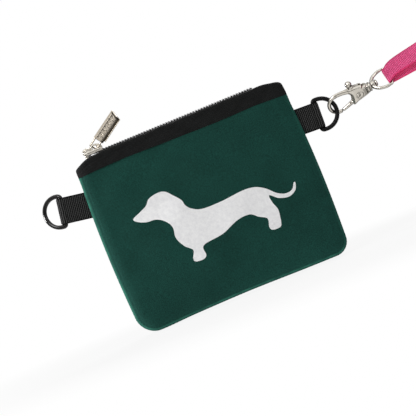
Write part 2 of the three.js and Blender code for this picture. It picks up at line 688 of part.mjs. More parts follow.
// A box of stitching on the outside of the overlap.
function strapStitching() {
  const { width, thick, length, bulge, overlap } = STRAP;
  const { thread, edge, end, gap } = STITCH;
  const right = EYE.bar + length - bulge - end;
  const left = right - overlap + 2 * end;
  const half = width / 2 - edge;
  const frame = (x0, x1, y) => corners([x0, -y], [x1, -y], [x1, y], [x0, y]);
  const outside = frame(left, right, half);
  const inside = frame(left + thread, right - thread, half - thread);
  const face = bulge + thick / 2 + gap;
  return plate(outside, -face - thread, -face, [inside]);
}

// ---- Assembly ----

add(pouch, 'front_panel', 'neoprene', panel(-1));
add(pouch, 'back_panel', 'neoprene', panel(1));
add(pouch, 'binding_front', 'binding', binding(-1));
add(pouch, 'binding_back', 'binding', binding(1));
add(pouch, 'animal_print', 'film', animalPrint());
add(pouch, 'zip_tape_front', 'tape', zipTape(-1));
add(pouch, 'zip_tape_back', 'tape', zipTape(1));
add(pouch, 'zip_teeth_front', 'teeth', zipTeeth(-1, 0));
add(pouch, 'zip_teeth_back', 'teeth', zipTeeth(1, TOOTH_PITCH / 2));
add(pouch, 'zip_top_stop_front', 'teeth', topStop(-1));
add(pouch, 'zip_top_stop_back', 'teeth', topStop(1));
add(pouch, 'zip_bottom_stop', 'teeth', bottomStop());
add(pouch, 'zip_end_tab', 'binding', zipEndTab());
add(pouch, 'slider_body', 'slider', sliderBody());
add(pouch, 'slider_bridge', 'slider', sliderBridge());
add(pouch, 'pull_tab', 'slider', pullTab().applyMatrix4(pullMatrix()));
for (const side of ['left', 'right']) {
  add(pouch, `tab_${side}`, 'webbing', placeTab(tabWebbing(TABS[side]), TABS[side]));
  add(pouch, `d_ring_${side}`, 'ring', placeTab(dRing(TABS[side]), TABS[side], RING_LEAN[side]));
}
add(clasp, 'clasp_body', 'nickel', claspBody());
add(clasp, 'clasp_gate', 'steel', claspGate());
add(clasp, 'gate_rivet', 'nickel', gateRivet());
add(clasp, 'gate_spring', 'steel', gateSpring());
add(clasp, 'swivel_post', 'nickel', swivelPost());
add(eyeFrame, 'swivel_eye', 'nickel', swivelEye());
add(eyeFrame, 'wrist_strap', 'strap', wristStrap());
add(eyeFrame, 'strap_stitching', 'thread', strapStitching());

export default pouch;
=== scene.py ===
"""Looks of the treat pouch: neoprene panels, bound edges, coil zip, webbing tabs, clasp and wrist strap.
Shapes are worked out in millimetres in the row frame (+Z up, front faces -Y) and stored in metres."""

import json
import math

import bmesh
import bpy
import numpy as np
from mathutils import Matrix, Vector
from mathutils.geometry import delaunay_2d_cdt


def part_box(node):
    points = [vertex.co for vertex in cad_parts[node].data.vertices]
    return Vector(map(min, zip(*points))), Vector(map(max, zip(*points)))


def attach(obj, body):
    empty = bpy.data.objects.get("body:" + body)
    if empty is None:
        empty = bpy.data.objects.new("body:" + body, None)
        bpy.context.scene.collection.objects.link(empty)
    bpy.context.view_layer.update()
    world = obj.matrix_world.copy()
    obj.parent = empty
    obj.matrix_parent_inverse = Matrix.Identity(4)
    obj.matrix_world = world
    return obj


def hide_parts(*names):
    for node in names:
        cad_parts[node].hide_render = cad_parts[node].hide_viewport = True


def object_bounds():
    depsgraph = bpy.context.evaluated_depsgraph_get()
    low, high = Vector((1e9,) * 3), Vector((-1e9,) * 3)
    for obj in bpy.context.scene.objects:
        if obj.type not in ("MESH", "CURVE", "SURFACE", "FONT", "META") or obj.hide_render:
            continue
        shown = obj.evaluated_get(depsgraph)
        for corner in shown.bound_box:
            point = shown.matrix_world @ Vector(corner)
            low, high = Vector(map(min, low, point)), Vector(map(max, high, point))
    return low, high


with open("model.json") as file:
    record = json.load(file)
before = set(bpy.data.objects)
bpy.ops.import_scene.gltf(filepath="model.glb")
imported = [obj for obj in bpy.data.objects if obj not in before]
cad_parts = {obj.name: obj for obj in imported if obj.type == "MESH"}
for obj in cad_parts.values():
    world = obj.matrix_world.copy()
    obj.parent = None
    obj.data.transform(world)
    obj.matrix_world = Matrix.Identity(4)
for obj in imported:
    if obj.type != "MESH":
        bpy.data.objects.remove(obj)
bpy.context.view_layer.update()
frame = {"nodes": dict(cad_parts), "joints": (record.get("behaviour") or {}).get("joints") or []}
MM = 0.001
FRONT, BACK = -1, 1
TO_FRONT = np.array([0.0, -1.0, 0.0])
JOINTS = {j["name"]: j for j in frame["joints"]}


def span(node):
    """Lowest and highest corner of a CAD node, in millimetres."""
    low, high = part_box(node)
    return np.array(low) / MM, np.array(high) / MM


def joint_place(name):
    """A joint's point in millimetres and its unit axis."""
    axis = np.array(JOINTS[name]["axis"], float)
    return np.array(JOINTS[name]["pos_m"], float) / MM, axis / np.linalg.norm(axis)


# ---- Sizes, in millimetres ----

BAND_LOW, BAND_HIGH = span("binding_front")
PANEL_HIGH = span("front_panel")[1]
HALF_WIDTH = BAND_HIGH[0]
SIDE_BOW = PANEL_HIGH[0] - HALF_WIDTH  # how far the sides bow out under the band
TOP = BAND_HIGH[2]
BAND_BOTTOM = BAND_LOW[2]
PANEL_TOP = PANEL_HIGH[2]
BACK_FLAT = span("back_panel")[1][1]  # the back is pressed flat at this depth
FLATTENING = 0.6  # softness of the change to that flat

CORNER_RADIUS = {"left": 10.5, "right": 8.0}
RIM = 2.9  # half thickness at the sewn edge
ROLL = 7.0  # width of the rounding in from the edge
TOP_DEPTH = 6.7  # half thickness at the mouth
BELLY = 3.0  # extra half thickness in the middle
SEAM_Y = -1.2  # plane in which front and back are sewn together
SEAM_GAP = 0.12
NEOPRENE = 2.7
BAND_PROUD = 0.4  # how far the binding stands off the panel
BAND_THICK = 0.5
TOOTH_PITCH = 1.6

# ---- Curves ----


def roll_in(t):
    """A quarter circle: 0 to 1, steep at the start."""
    rest = 1 - np.clip(t, 0, 1)
    return np.sqrt(1 - rest * rest)


def smooth_step(t):
    t = np.clip(t, 0, 1)
    return t * t * (3 - 2 * t)


def bell(value, centre, width):
    return np.exp(-((value - centre) / width) ** 2)


def capped(depth, limit):
    """Depth with a soft upper limit."""
    return depth - FLATTENING * np.log1p(np.exp((depth - limit) / FLATTENING))


def ripple(u, v, seed, lengths=(22, 30, 41, 17), count=10):
    """Slow unevenness of a fabric face, about -1 to 1."""
    rng = np.random.default_rng(seed)
    total = 0
    for i in range(count):
        angle = rng.uniform(0, math.pi)
        k = 2 * math.pi / lengths[i % len(lengths)]
        total = total + np.sin(k * (u * math.cos(angle) + v * math.sin(angle)) + rng.uniform(0, 7))
    return total / math.sqrt(count)


def unit(v):
    v = np.asarray(v, float)
    return v / np.maximum(np.linalg.norm(v, axis=-1, keepdims=True), 1e-12)


def circle(sides):
    return np.linspace(0, 2 * math.pi, sides, endpoint=False)


def run_length(points):
    """Distance along a path, or along each row of a grid of points."""
    steps = np.linalg.norm(np.diff(points, axis=-2), axis=-1)
    return np.concatenate([np.zeros_like(steps[..., :1]), np.cumsum(steps, -1)], -1)


def resample(path, step, closed=False):
    """Points at an even spacing along a path."""
    path = np.asarray(path, float)
    if closed:
        path = np.concatenate([path, path[:1]])
    along = run_length(path)
    at = np.linspace(0, along[-1], max(int(round(along[-1] / step)), 3) + 1)
    if closed:
        at = at[:-1]
    return np.stack([np.interp(at, along, path[:, k]) for k in range(path.shape[1])], 1)


def spline(points, per=8, closed=True):
    """A smooth curve through points."""
    p = np.asarray(points, float)
    p = np.concatenate([p[-1:], p, p[:2]]) if closed else np.concatenate([p[:1], p, p[-1:]])
    t = np.linspace(0, 1, per, endpoint=False)[:, None]
    out = [0.5 * (2 * b + (c - a) * t + (2 * a - 5 * b + 4 * c - d) * t ** 2
                  + (3 * b - a - 3 * c + d) * t ** 3)
           for a, b, c, d in zip(p, p[1:], p[2:], p[3:])]
    return np.concatenate(out if closed else [*out, p[-1:]])


def open_curve(points, per=8):
    """A smooth curve through points, with two ends."""
    return spline(points, per, closed=False)


def arc(cx, cy, radius, start, end, count):
    """Points on a circle, between two angles in degrees."""
    a = np.radians(np.linspace(start, end, count))
    return np.stack([cx + radius * np.cos(a), cy + radius * np.sin(a)], 1)


# ---- Mesh data: points and faces ----


def grid_faces(rows, cols, close_rows=False, close_cols=False, start=0):
    r = np.arange(rows if close_rows else rows - 1)
    c = np.arange(cols if close_cols else cols - 1)
    rr, cc = np.meshgrid(r, c, indexing="ij")
    r2, c2 = (rr + 1) % rows, (cc + 1) % cols
    quads = np.stack([rr * cols + cc, rr * cols + c2, r2 * cols + c2, r2 * cols + cc], -1)
    return (quads.reshape(-1, 4) + start).tolist()


def grid_normals(points, toward):
    """Unit normals of a grid of points, on the side that faces the direction given."""
    normal = unit(np.cross(np.gradient(points, axis=0), np.gradient(points, axis=1)))
    return -normal if (normal @ np.asarray(toward, float)).mean() < 0 else normal


def tube_data(rings, closed=False):
    """A skin through rings; open ends are capped."""
    rows, cols = rings.shape[:2]
    faces = grid_faces(rows, cols, closed, True)
    if not closed:
        faces += [list(range(cols))[::-1], list(range((rows - 1) * cols, rows * cols))]
    return rings.reshape(-1, 3), faces


def sheet_data(outer, inner):
    """A closed sheet between two grids of the same size."""
    rows, cols = outer.shape[:2]
    count = rows * cols
    faces = grid_faces(rows, cols)
    faces += [f[::-1] for f in grid_faces(rows, cols, start=count)]
    border = [(0, c) for c in range(cols)]
    border += [(r, cols - 1) for r in range(1, rows)]
    border += [(rows - 1, c) for c in range(cols - 2, -1, -1)]
    border += [(r, 0) for r in range(rows - 2, 0, -1)]
    ids = [r * cols + c for r, c in border]
    faces += [[b, a, a + count, b + count] for a, b in zip(ids, ids[1:] + ids[:1])]
    return np.concatenate([outer.reshape(-1, 3), inner.reshape(-1, 3)]), faces


def plane_tube(path, radius, sides=20, closed=False):
    """A round bar along a path in the XY plane of its own frame; radius may vary along it."""
    path = np.asarray(path, float)
    radius = np.broadcast_to(np.asarray(radius, float), (len(path),))[:, None]
    run = np.roll(path, -1, 0) - np.roll(path, 1, 0) if closed else np.gradient(path, axis=0)
    direction = unit(run)
    across = np.stack([-direction[:, 1], direction[:, 0]], 1)
    ring = np.zeros((len(path), sides, 3))
    ring[..., :2] = path[:, None] + across[:, None] * (radius * np.cos(circle(sides)))[..., None]
    ring[..., 2] = radius * np.sin(circle(sides))
    return tube_data(ring, closed)


def wire_data(centre, radius, reference, sides, swell=1.0):
    """A wire along a path in space. Swell stretches its section, at each point of the path."""
    direction = unit(np.gradient(centre, axis=0))
    side = unit(np.cross(direction, reference))
    other = np.cross(direction, side) * np.broadcast_to(swell, (len(centre),))[:, None]
    cos, sin = np.cos(circle(sides))[:, None], np.sin(circle(sides))[:, None]
    return tube_data(centre[:, None] + radius * (side[:, None] * cos + other[:, None] * sin))


def prism(outline, low, high):
    outline = np.asarray(outline, float)
    n = len(outline)
    points = np.concatenate([np.column_stack([outline, np.full(n, z)]) for z in (low, high)])
    faces = [[i, (i + 1) % n, (i + 1) % n + n, i + n] for i in range(n)]
    return points, faces + [list(range(n))[::-1], list(range(n, 2 * n))]


def lathe(profile, sides=32):
    """A turned piece about the x axis; the profile is (x, radius)."""
    profile = np.asarray(profile, float)
    rings = np.zeros((len(profile), sides, 3))
    rings[..., 0] = profile[:, :1]
    rings[..., 1] = profile[:, 1:] * np.cos(circle(sides))
    rings[..., 2] = profile[:, 1:] * np.sin(circle(sides))
    return tube_data(rings)


def ball(centre, radius, scale=(1, 1, 1)):
    tilt = np.linspace(0.02, math.pi - 0.02, 16)
    points, faces = lathe(np.column_stack([-np.cos(tilt), np.sin(tilt)]), 24)
    return points * radius * np.asarray(scale) + np.asarray(centre, float), faces


def to_edge(points, outline):
    """Distance of flat points from a closed outline."""
    run = np.roll(outline, -1, 0) - outline
    t = ((points[:, None] - outline) * run).sum(-1) / np.maximum((run ** 2).sum(-1), 1e-9)
    near = outline + run * np.clip(t, 0, 1)[..., None]
    return np.linalg.norm(points[:, None] - near, axis=-1).min(1)


def filled(outline, step):
    """Triangles that fill an outline, with their flat points and distance from the edge."""
    low, high = outline.min(0), outline.max(0)
    gx, gy = np.meshgrid(np.arange(low[0], high[0], step), np.arange(low[1], high[1], step))
    inside = np.column_stack([gx.ravel(), gy.ravel()])
    inside = inside[to_edge(inside, outline) > step * 0.4]
    count = len(outline)
    points = [Vector(p) for p in np.concatenate([outline, inside])]
    edges = [(i, (i + 1) % count) for i in range(count)]
    points, _, faces, *_ = delaunay_2d_cdt(points, edges, [list(range(count))], 1, 1e-5)
    keep = sorted({i for f in faces for i in f})
    index = {old: new for new, old in enumerate(keep)}
    flat = np.array([tuple(p) for p in points])[keep]
    return flat, [[index[i] for i in f] for f in faces], to_edge(flat, outline)


def closed_fill(flat, faces, top, bottom):
    """A solid between two heights over a filled outline."""
    n = len(flat)
    used = {(a, b) for f in faces for a, b in zip(f, f[1:] + f[:1])}
    rim = [(a, b) for a, b in used if (b, a) not in used]
    points = np.concatenate([np.column_stack([flat, top]), np.column_stack([flat, bottom])])
    skin = [list(f) for f in faces] + [[i + n for i in reversed(f)] for f in faces]
    return points, skin + [[b, a, a + n, b + n] for a, b in rim]


def pillow(outline, half, roll, low=None, step=0.3):
    """A cast shape with rounded faces over an outline; half is its half thickness at each x."""
    flat, faces, deep = filled(resample(outline, step * 0.9, closed=True), step)
    top = np.interp(flat[:, 0], *half) * roll_in((deep + 0.02) / roll)
    if low is None:
        return closed_fill(flat, faces, top, -top)
    return closed_fill(flat, faces, np.maximum(top, low + 0.15), np.full(len(flat), low))


def frame_matrix(origin, x, y, z):
    m = np.eye(4)
    m[:3, 0], m[:3, 1], m[:3, 2], m[:3, 3] = x, y, z, origin
    return m


def turned(data, matrix):
    """Mesh data moved by a 4x4 in millimetres."""
    return data[0] @ matrix[:3, :3].T + matrix[:3, 3], data[1]


def moved(data, scale=(1, 1, 1), shift=(0, 0, 0), upright=False):
    """Mesh data scaled and shifted, after its XY plane is stood up as the XZ plane if it is upright."""
    points = data[0][:, [0, 2, 1]] if upright else data[0]
    return points * scale + shift, data[1]


def joined(parts):
    """Several sets of mesh data as one."""
    points, faces, base = [], [], 0
    for part_points, part_faces in parts:
        points.append(part_points)
        faces += [[i + base for i in face] for face in part_faces]
        base += len(part_points)
    return np.concatenate(points), faces


# ---- Meshes and pieces ----


def outward(mesh):
    """Turns every face outwards and shades it smooth."""
    work = bmesh.new()
    work.from_mesh(mesh)
    bmesh.ops.recalc_face_normals(work, faces=work.faces)
    work.to_mesh(mesh)
    work.free()
    mesh.polygons.foreach_set("use_smooth", [True] * len(mesh.polygons))
    mesh.update()


def solid(name, data, scale=MM):
    mesh = bpy.data.meshes.new(name)
    mesh.from_pydata((data[0] * scale).tolist(), [], data[1])
    outward(mesh)
    return mesh


def place(name, mesh, material, body, nodes):
    """Adds a finished mesh as a piece on a body, in the place of the CAD nodes named."""
    obj = bpy.data.objects.new(name, mesh)
    bpy.context.scene.collection.objects.link(obj)
    mesh.materials.append(material)
    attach(obj, body)
    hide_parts(*nodes)
    return obj


def cast(name, parts, voxel, rounds):
    """Fuses overlapping solids into one casting with softened edges."""
    rough = solid(name + "_rough", joined(parts), scale=1.0)
    obj = bpy.data.objects.new(name + "_rough", rough)
    bpy.context.scene.collection.objects.link(obj)
    remesh = obj.modifiers.new("fuse", "REMESH")
    remesh.mode, remesh.voxel_size = "VOXEL", voxel
    obj.modifiers.new("soften", "SMOOTH").iterations = rounds
    graph = bpy.context.evaluated_depsgraph_get()
    mesh = bpy.data.meshes.new_from_object(obj.evaluated_get(graph))
    bpy.data.objects.remove(obj)
    bpy.data.meshes.remove(rough)
    mesh.name = name
    mesh.transform(Matrix.Scale(MM, 4))
    mesh.materials.clear()
    outward(mesh)
    return mesh


def cad_data(node):
    """A copy of a CAD node's mesh, in millimetres."""
    work = bmesh.new()
    work.from_mesh(frame["nodes"][node].data)
    bmesh.ops.remove_doubles(work, verts=work.verts, dist=1e-7)
    points = np.array([v.co for v in work.verts]) / MM
    faces = [[v.index for v in f.verts] for f in work.faces]
    work.free()
    return points, faces


def set_values(mesh, name, values):
    """An attribute with one value for each vertex."""
    layer = mesh.attributes.new(name, "FLOAT", "POINT")
    layer.data.foreach_set("value", np.asarray(values, np.float32).ravel())


def set_uv(mesh, u, v):
    """A UV map in millimetres for a closed sheet, from one value of each per point of its outer grid."""
    layer = mesh.uv_layers.new(name="cloth")
    index = np.zeros(len(mesh.loops), np.int64)
    mesh.loops.foreach_get("vertex_index", index)
    pair = np.stack([np.tile(u.ravel(), 2)[index], np.tile(v.ravel(), 2)[index]], 1)
    layer.data.foreach_set("uv", pair.astype(np.float32).ravel())


# ---- Materials ----

FIBRE_DEPTH = 0.00008
CLOTH_DEPTH = 0.00012
SCUFF_DEPTH = 0.00006
RELIEF_DEPTH = 0.0001


class Nodes:
    """Short ways to build a node tree. A source is a plain value, or a node with one of its outputs."""

    def __init__(self, tree):
        self.tree = tree
        tree.nodes.clear()
        self.coords = self.node("TexCoord")

    def feed(self, source, socket):
        if isinstance(source, tuple) and isinstance(source[0], bpy.types.Node):
            self.tree.links.new(source[0].outputs[source[1]], socket)
        else:
            socket.default_value = source

    def node(self, kind, inputs=None, **settings):
        made = self.tree.nodes.new("ShaderNode" + kind)
        for key, value in settings.items():
            setattr(made, key, value)
        for key, source in (inputs or {}).items():
            self.feed(source, made.inputs[key])
        return made

    def math(self, operation, *sources):
        return (self.node("Math", dict(enumerate(sources)), operation=operation), "Value")

    def split(self, coords):
        return self.node("SeparateXYZ", {"Vector": (self.coords, coords)})

    def ramp(self, source, *stops):
        """A colour ramp; stops are (position, linear colour or grey)."""
        made = self.node("ValToRGB", {"Fac": source})
        elements = made.color_ramp.elements
        while len(elements) < len(stops):
            elements.new(0.5)
        for element, (position, colour) in zip(elements, stops):
            element.position = position
            element.color = (*(colour if isinstance(colour, tuple) else (colour,) * 3), 1)
        return (made, "Color")

    def range(self, source, low, high, to_low, to_high):
        ends = {"From Min": low, "From Max": high, "To Min": to_low, "To Max": to_high}
        return (self.node("MapRange", {"Value": source, **ends}), "Result")

    def mix(self, factor, a, b, blend="MIX"):
        made = self.node("Mix", data_type="RGBA", blend_type=blend)
        sockets = {s.identifier: s for s in made.inputs}
        self.feed(factor, sockets["Factor_Float"])
        for colour, key in ((a, "A_Color"), (b, "B_Color")):
            linked = isinstance(colour[0], bpy.types.Node)
            self.feed(colour if linked else (*colour, 1), sockets[key])
        return (made, next(i for i, s in enumerate(made.outputs) if s.identifier == "Result_Color"))

    def times(self, a, b):
        return self.mix(1.0, a, b, "MULTIPLY")


class Look(Nodes):
    """A node material with one principled surface."""

    def __init__(self, name):
        self.material = bpy.data.materials.new(name)
        self.material.use_nodes = True
        super().__init__(self.material.node_tree)
        self.surface = self.node("BsdfPrincipled")
        self.out = self.node("OutputMaterial", {"Surface": (self.surface, "BSDF")})

    def noise(self, scale, detail, rough, stretch=None):
        at = (self.coords, "Object")
        if stretch:
            at = (self.node("Mapping", {"Vector": at, "Scale": stretch}), "Vector")
        inputs = {"Vector": at, "Scale": scale, "Detail": detail, "Roughness": rough}
        return (self.node("TexNoise", inputs), "Fac")

    def attribute(self, name):
        return (self.node("Attribute", attribute_name=name), "Fac")

    def bump(self, source, strength, distance):
        """Adds relief on top of the bumps before it."""
        made = self.node("Bump", {"Height": source, "Strength": strength, "Distance": distance})
        normal = self.surface.inputs["Normal"]
        if normal.is_linked:
            self.tree.links.new(normal.links[0].from_socket, made.inputs["Normal"])
        self.feed((made, "Normal"), normal)

    def finish(self, **values):
        """Sets or links inputs of the surface, and gives the material."""
        for key, source in values.items():
            self.feed(source, self.surface.inputs[key.replace("_", " ")])
        return self.material


def srgb(r, g, b):
    """Linear colour of an 8-bit display colour."""
    parts = (r / 255, g / 255, b / 255)
    return tuple((c / 12.92 if c <= 0.04045 else ((c + 0.055) / 1.055) ** 2.4) for c in parts)


def scaled(colour, k):
    return tuple(min(c * k, 1.0) for c in colour)


def neoprene_look():
    """Knitted jersey on foam: fine grain, soft sheen at grazing angles, blotches, a painted highlight along
    the rim.
    """
    look = Look("neoprene_green")
    # The second green is the painted highlight along the rim.
    green, rim_highlight = srgb(18, 57, 50), srgb(62, 132, 112)
    grain = look.noise(1500, 3, 0.7)
    tone = look.ramp(look.noise(38, 3, 0.6), (0.3, scaled(green, 0.86)), (0.7, scaled(green, 1.14)))
    tone = look.times(tone, look.ramp(grain, (0.3, 0.66), (0.72, 1.36)))
    waves = []
    for scale, direction in ((290.0, "Z"), (330.0, "X")):
        inputs = {"Vector": (look.coords, "Object"), "Scale": scale, "Distortion": 1.5, "Detail": 1.0,
                  "Detail Scale": 3.0}
        waves.append((look.node("TexWave", inputs, bands_direction=direction), "Fac"))
    look.bump(grain, 0.35, CLOTH_DEPTH)
    look.bump(look.math("MULTIPLY", *waves), 0.30, CLOTH_DEPTH)
    # Painted highlight: the rim attribute blends in the lighter green.
    tone = look.mix(look.attribute("rim"), tone, rim_highlight)
    return look.finish(Base_Color=tone, Roughness=0.85, Sheen_Weight=0.22, Sheen_Roughness=0.45,
                       Sheen_Tint=(0.12, 0.80, 0.62, 1), Specular_IOR_Level=0.12)


def tape_look(name, colour, pitch):
    """Woven tape: fine crossed ribs from the piece's own length and width, painted shade and highlight that
    follow them, and flecks of fibre.
    """
    look = Look(name)
    uv = look.split("UV")
    x, y = (uv, "X"), (uv, "Y")
    k = 2 * math.pi / pitch

    def wave(source, factor):
        return look.math("SINE", look.math("MULTIPLY", source, factor))
    crossed = look.math("MULTIPLY", wave(x, k), wave(y, k * 1.25))
    weave = look.math("ADD", crossed, look.math("MULTIPLY", wave(look.math("ADD", x, y), k * 0.5), 0.6))
    tone = look.ramp(look.noise(120, 3, 0.6), (0.3, scaled(colour, 0.8)), (0.7, scaled(colour, 1.2)))
    # Painted shade in the weave's low parts, painted highlight on its crossings.
    shade = look.range(weave, -1.4, 1.4, 0.72, 1.22)
    grey = look.node("CombineColor", {"Red": shade, "Green": shade, "Blue": shade})
    look.bump(weave, 0.5, RELIEF_DEPTH)
    look.bump(look.noise(2600, 3, 0.7), 0.4, FIBRE_DEPTH)
    return look.finish(Base_Color=look.times(tone, (grey, "Color")), Roughness=0.82, Sheen_Weight=0.04,
                       Sheen_Roughness=0.5, Specular_IOR_Level=0.12)


def webbing_look(name, low, high, sheen, rough, specular=0.35):
    """Heavy webbing whose weave is in the mesh: painted shade in the valleys, a painted highlight on the
    crowns.
    """
    look = Look(name)
    fibre = look.noise(2200, 3, 0.7)
    # Painted shade and highlight: the weave's height picks between the two colours.
    tone = look.ramp(look.attribute("rise"), (0.25, low), (0.9, high))
    tone = look.times(tone, look.ramp(fibre, (0.3, 0.9), (0.7, 1.08)))
    tone = look.times(tone, look.ramp(look.noise(90, 2, 0.5), (0.3, 0.93), (0.7, 1.06)))
    look.bump(fibre, 0.35, FIBRE_DEPTH)
    return look.finish(Base_Color=tone, Roughness=rough, Sheen_Weight=sheen, Sheen_Roughness=0.4,
                       Specular_IOR_Level=specular)


def metal_look(name, colour, rough, dark, metallic=1.0, reach=0.0007, edge=0.9, shade_span=None, with_patina_and_shade=False):
    """Plated casting: painted shade in the recesses and where it turns away, faint casting waves, uneven
    polish.
    An x range, in metres, gives where a painted shade along the part lifts; a flag takes the antique finish
    and painted shade stored on the mesh."""
    look = Look(name)
    # Painted shade: the colour goes dark in recesses found by ambient occlusion.
    recess_shade = look.node("AmbientOcclusion", {"Distance": reach}, samples=4)
    smear = look.noise(420, 3, 0.6)
    tone = look.mix(look.range((recess_shade, "AO"), 0.35, 0.85, 0.0, 1.0), dark, colour)
    tone = look.times(tone, look.ramp(smear, (0.3, (0.90, 0.89, 0.87)), (0.7, 1.0)))
    # Painted shade: darker towards low x, lifting over the range given.
    if shade_span:
        bright = look.range((look.split("Object"), "X"), *shade_span, 0.0, 1.0)
        tone = look.times(tone, look.ramp(bright, (0.0, (0.30, 0.30, 0.31)), (1.0, 1.0)))
    # Antique finish in the hollows and painted shade, both stored on the mesh.
    if with_patina_and_shade:
        tone = look.mix(look.attribute("patina_and_shade"), tone, scaled(dark, 0.2))
    # Painted shade: darker where the surface turns away from the view.
    facing = look.node("LayerWeight", {"Blend": 0.5})
    tone = look.mix(look.range((facing, "Facing"), 0.15, 0.55, 0.0, edge), tone, scaled(dark, 0.25))
    look.bump(look.noise(800, 2, 0.5), 0.08, RELIEF_DEPTH)
    return look.finish(Base_Color=tone, Roughness=look.range(smear, 0.3, 0.7, rough * 0.75, rough * 1.35),
                       Metallic=metallic)


def black_look(name, colour, rough, coat, lacquer=1.5):
    """Black-finished steel with fine scuffs."""
    look = Look(name)
    smear = look.noise(260, 3, 0.6)
    tone = look.mix(look.range(smear, 0.62, 0.8, 0.0, 0.35), colour, (0.05, 0.05, 0.05))
    look.bump(look.noise(900, 4, 0.7, stretch=(1, 1, 6)), 0.12, SCUFF_DEPTH)
    polish = look.range(smear, 0.3, 0.7, rough * 0.7, rough * 1.4)
    return look.finish(Base_Color=tone, Roughness=polish, Metallic=0.0, Specular_IOR_Level=0.15,
                       Coat_Weight=coat, Coat_Roughness=0.1, Coat_IOR=lacquer)


def film_look():
    """Pressed silver film: satin, slightly mottled where it takes the knit below."""
    look = Look("silver_film")
    mottle = look.noise(520, 4, 0.7)
    tone = look.ramp(mottle, (0.28, srgb(222, 222, 224)), (0.72, srgb(240, 240, 240)))
    look.bump(mottle, 0.12, RELIEF_DEPTH)
    look.bump(look.noise(1300, 2, 0.6), 0.2, SCUFF_DEPTH)
    return look.finish(Base_Color=tone, Roughness=look.range(mottle, 0.3, 0.7, 0.38, 0.55), Metallic=0.15,
                       Specular_IOR_Level=0.5)


def floor_look():
    """Pale floor that takes a faint shadow near the pouch and fades to the white of the surroundings."""
    look = Look("studio_floor")
    away = look.node("VectorMath", {0: (look.coords, "Object")}, operation="LENGTH")
    glow = look.node("Emission", {"Color": (1, 1, 1, 1), "Strength": 1.0})
    share = look.range((away, "Value"), 0.16, 0.30, 0.87, 1.0)
    blend = look.node("MixShader", {0: share, 1: (look.surface, "BSDF"), 2: (glow, 0)})
    look.feed((blend, 0), look.out.inputs["Surface"])
    return look.finish(Base_Color=(0.86, 0.86, 0.86, 1), Roughness=0.9, Specular_IOR_Level=0.1)


NEOPRENE_LOOK = neoprene_look()
BINDING_LOOK = tape_look("binding_black", srgb(20, 21, 21), 0.62)
TAPE_LOOK = tape_look("zip_tape_black", srgb(20, 20, 21), 0.5)
TAB_LOOK = webbing_look("webbing_black", srgb(4, 4, 4), srgb(76, 76, 76), 0.02, 0.75, 0.08)
STRAP_LOOK = webbing_look("webbing_pink", srgb(214, 44, 106), srgb(255, 130, 186), 0.2, 0.6)
THREAD_LOOK = webbing_look("thread_pink", srgb(214, 60, 116), srgb(250, 140, 182), 0.2, 0.5)
NICKEL_LOOK = metal_look("nickel_warm", (0.95, 0.91, 0.84), 0.19, (0.20, 0.18, 0.155))
SLIDER_LOOK = metal_look("nickel_slider", (1.0, 0.95, 0.86), 0.28, (0.34, 0.30, 0.26), metallic=0.75,
                         reach=0.0004, edge=0.5)
PULL_LOOK = metal_look("nickel_pull", (0.62, 0.56, 0.48), 0.24, (0.12, 0.11, 0.095), reach=0.0003, edge=0.15,
                       with_patina_and_shade=True)
STEEL_LOOK = metal_look("spring_steel", (0.60, 0.60, 0.60), 0.25, (0.25, 0.25, 0.25))
# The coil gets painted shade towards its left end.
TEETH_LOOK = metal_look("coil_silver", (0.86, 0.86, 0.88), 0.4, (0.16, 0.16, 0.165), metallic=0.1,
                        reach=0.0004, edge=0.7, shade_span=(-0.042, 0.01))
RING_LOOKS = {"left": black_look("ring_black_gloss", (0.003, 0.003, 0.0032), 0.2, 0.6, 1.6),
              "right": black_look("ring_black_satin", (0.004, 0.004, 0.0045), 0.42, 0.04)}
STOP_LOOK = black_look("stop_black", (0.012, 0.012, 0.013), 0.4, 0.1)
FILM_LOOK = film_look()

# ---- Pouch shape ----

LEFT_TOP = [(-61.3, 96.3), (-61.1, 97.0), (-60.6, 97.6), (-59.6, 98.15), (-58.3, 98.75), (-55.6, 99.95),
            (-52.8, 100.9), (-48.5, 101.6), (-43, 101.9)]
RIGHT_TOP = [(46, 101.9), (50, 101.75), (53, 101.35), (55.8, 100.85), (58.4, 100.2), (59.7, 99.7),
             (60.4, 99.0), (60.9, 97.5), (61.15, 95.6), (61.3, 94.2)]


def straight_edge(z):
    return HALF_WIDTH + SIDE_BOW * np.sin(np.pi * np.clip(z / BAND_BOTTOM, 0, 1))


def edge_x(side, z):
    radius = CORNER_RADIUS[side]
    x = straight_edge(z) - radius * (1 - roll_in(z / radius))
    return -x if side == "left" else x


def band_line():
    """The band's top line as columns of x with their heights."""
    left, right = open_curve(LEFT_TOP, 7), open_curve(RIGHT_TOP, 7)
    middle = np.linspace(left[-1, 0], right[0, 0], 190)[1:-1]
    line = np.concatenate([left, np.column_stack([middle, np.full(len(middle), TOP)]), right])
    return line[:, 0], line[:, 1]


def edge_place(x, z):
    """Corner radius on this side, distance to the side edge, and whether the point is in the corner."""
    radius = np.where(x < 0, CORNER_RADIUS["left"], CORNER_RADIUS["right"])
    to_side = straight_edge(z) - np.abs(x)
    return radius, to_side, (to_side < radius) & (z < radius)


def inset(x, z):
    """Distance in from the sewn edges."""
    radius, to_side, in_corner = edge_place(x, z)
    corner = np.maximum(radius - np.hypot(radius - to_side, radius - z), 0)
    return np.where(in_corner, corner, np.maximum(np.minimum(to_side, z), 0))


def around(x, z):
    """Distance along the sewn edge, from the middle of the bottom, left side negative."""
    radius, to_side, in_corner = edge_place(x, z)
    turn = np.arctan2(np.maximum(radius - z, 0), np.maximum(radius - to_side, 1e-6))
    flat = HALF_WIDTH - radius
    on_side = flat + radius * math.pi / 2 + z - radius
    s = np.where(to_side < z, on_side, np.minimum(np.abs(x), flat))
    s = np.where(in_corner, flat + radius * (math.pi / 2 - turn), s)
    return np.where(x < 0, -s, s)


